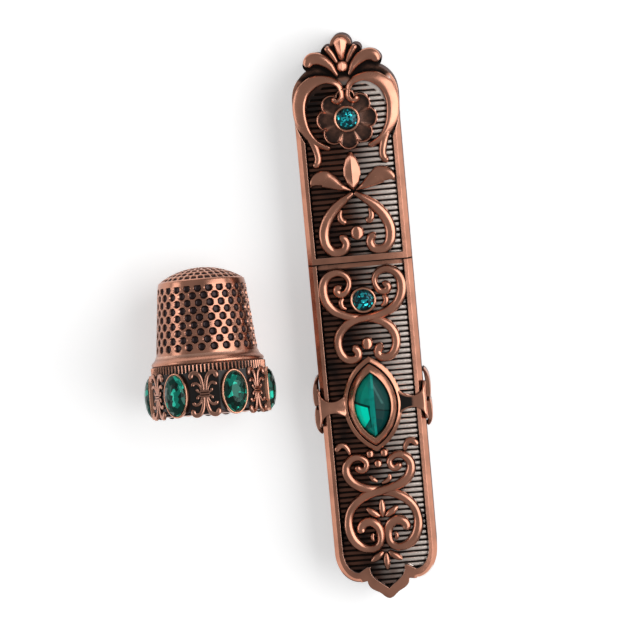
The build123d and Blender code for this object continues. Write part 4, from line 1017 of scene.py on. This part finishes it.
fleur_finish = antique_copper("fleur_copper", body=(0.56, 0.28, 0.20), depth=0.0006,
                              darkness=0.9, gloss=0.22, worn=0)
finished(joined("thimble_fleurs_cast", fleurs), fleur_finish, "thimble",
         "thimble_fleurs", angle=50)

# Stage
# White table, one large soft lamp on the right, a weak one on the left and a pale room.
bpy.ops.mesh.primitive_plane_add(size=6, location=(0, 0, -0.0001))
table = bpy.context.object
table.name = "table"
cloth = Finish("white_table")
seen = cloth.node("ShaderNodeLightPath", output="Is Camera Ray")
shone = cloth.node("ShaderNodeLightPath", output="Is Glossy Ray")
passed = cloth.node("ShaderNodeLightPath", output="Is Transmission Ray")
cloth.set(Base_Color=(0.9, 0.9, 0.9), Roughness=0.9, Emission_Strength=1.0,
          Emission_Color=cloth.blend(seen + shone + passed, (0, 0, 0), (0.42, 0.42, 0.42)))
table.data.materials.append(cloth.material)


def lamp(name, place, wide, tall, power):
    """Softbox of so many metres and watts at a place, turned to face the case."""
    bpy.ops.object.light_add(type="AREA", location=place)
    box = bpy.context.object
    box.name = name
    box.data.shape = "RECTANGLE"
    box.data.size, box.data.size_y = wide, tall
    box.data.energy = power
    box.rotation_euler = (0, math.atan2(math.hypot(place[0], place[1]), place[2]),
                          math.atan2(place[1], place[0]))


lamp("right_softbox", (0.85, 0.10, 0.72), 1.1, 1.3, 11.5)
lamp("left_softbox", (-1.0, 0.1, 0.35), 0.4, 0.9, 1.9)
world = bpy.data.worlds.new("room")
world.use_nodes = True
world.node_tree.nodes["Background"].inputs["Color"].default_value = (1, 1, 1, 1)
world.node_tree.nodes["Background"].inputs["Strength"].default_value = 0.32
bpy.context.scene.world = world

# Camera over the set, tipped a little towards the cap's end and the right side. Its
# distance and the width of its picture are in metres.
ROLL = math.radians(5.26)
TIP_BACK, TIP_SIDE = math.tan(math.radians(8.5)), math.tan(math.radians(3.0))
DISTANCE = 0.42
PICTURE = 0.1024
SENSOR = 36
AIM = (-0.0072, 0.0007, 0.0080)
size = math.sqrt(1 + TIP_BACK ** 2 + TIP_SIDE ** 2)
away = (TIP_SIDE / size, TIP_BACK / size, 1 / size)
up = (math.sin(ROLL), math.cos(ROLL), 0)
lean = sum(a * b for a, b in zip(up, away))
up = [a - lean * b for a, b in zip(up, away)]
scale = math.sqrt(sum(a * a for a in up))
up = [a / scale for a in up]
right = (up[1] * away[2] - up[2] * away[1], up[2] * away[0] - up[0] * away[2],
         up[0] * away[1] - up[1] * away[0])
place = [t + DISTANCE * a for t, a in zip(AIM, away)]
bpy.ops.object.camera_add()
camera = bpy.context.object
camera.matrix_world = Matrix([*zip(right, up, away, place), (0, 0, 0, 1)])
camera.data.sensor_width = SENSOR
camera.data.lens = SENSOR * DISTANCE / PICTURE
camera.data.clip_start = 0.01
bpy.context.scene.camera = camera
bpy.context.scene.view_settings.view_transform = "Standard"
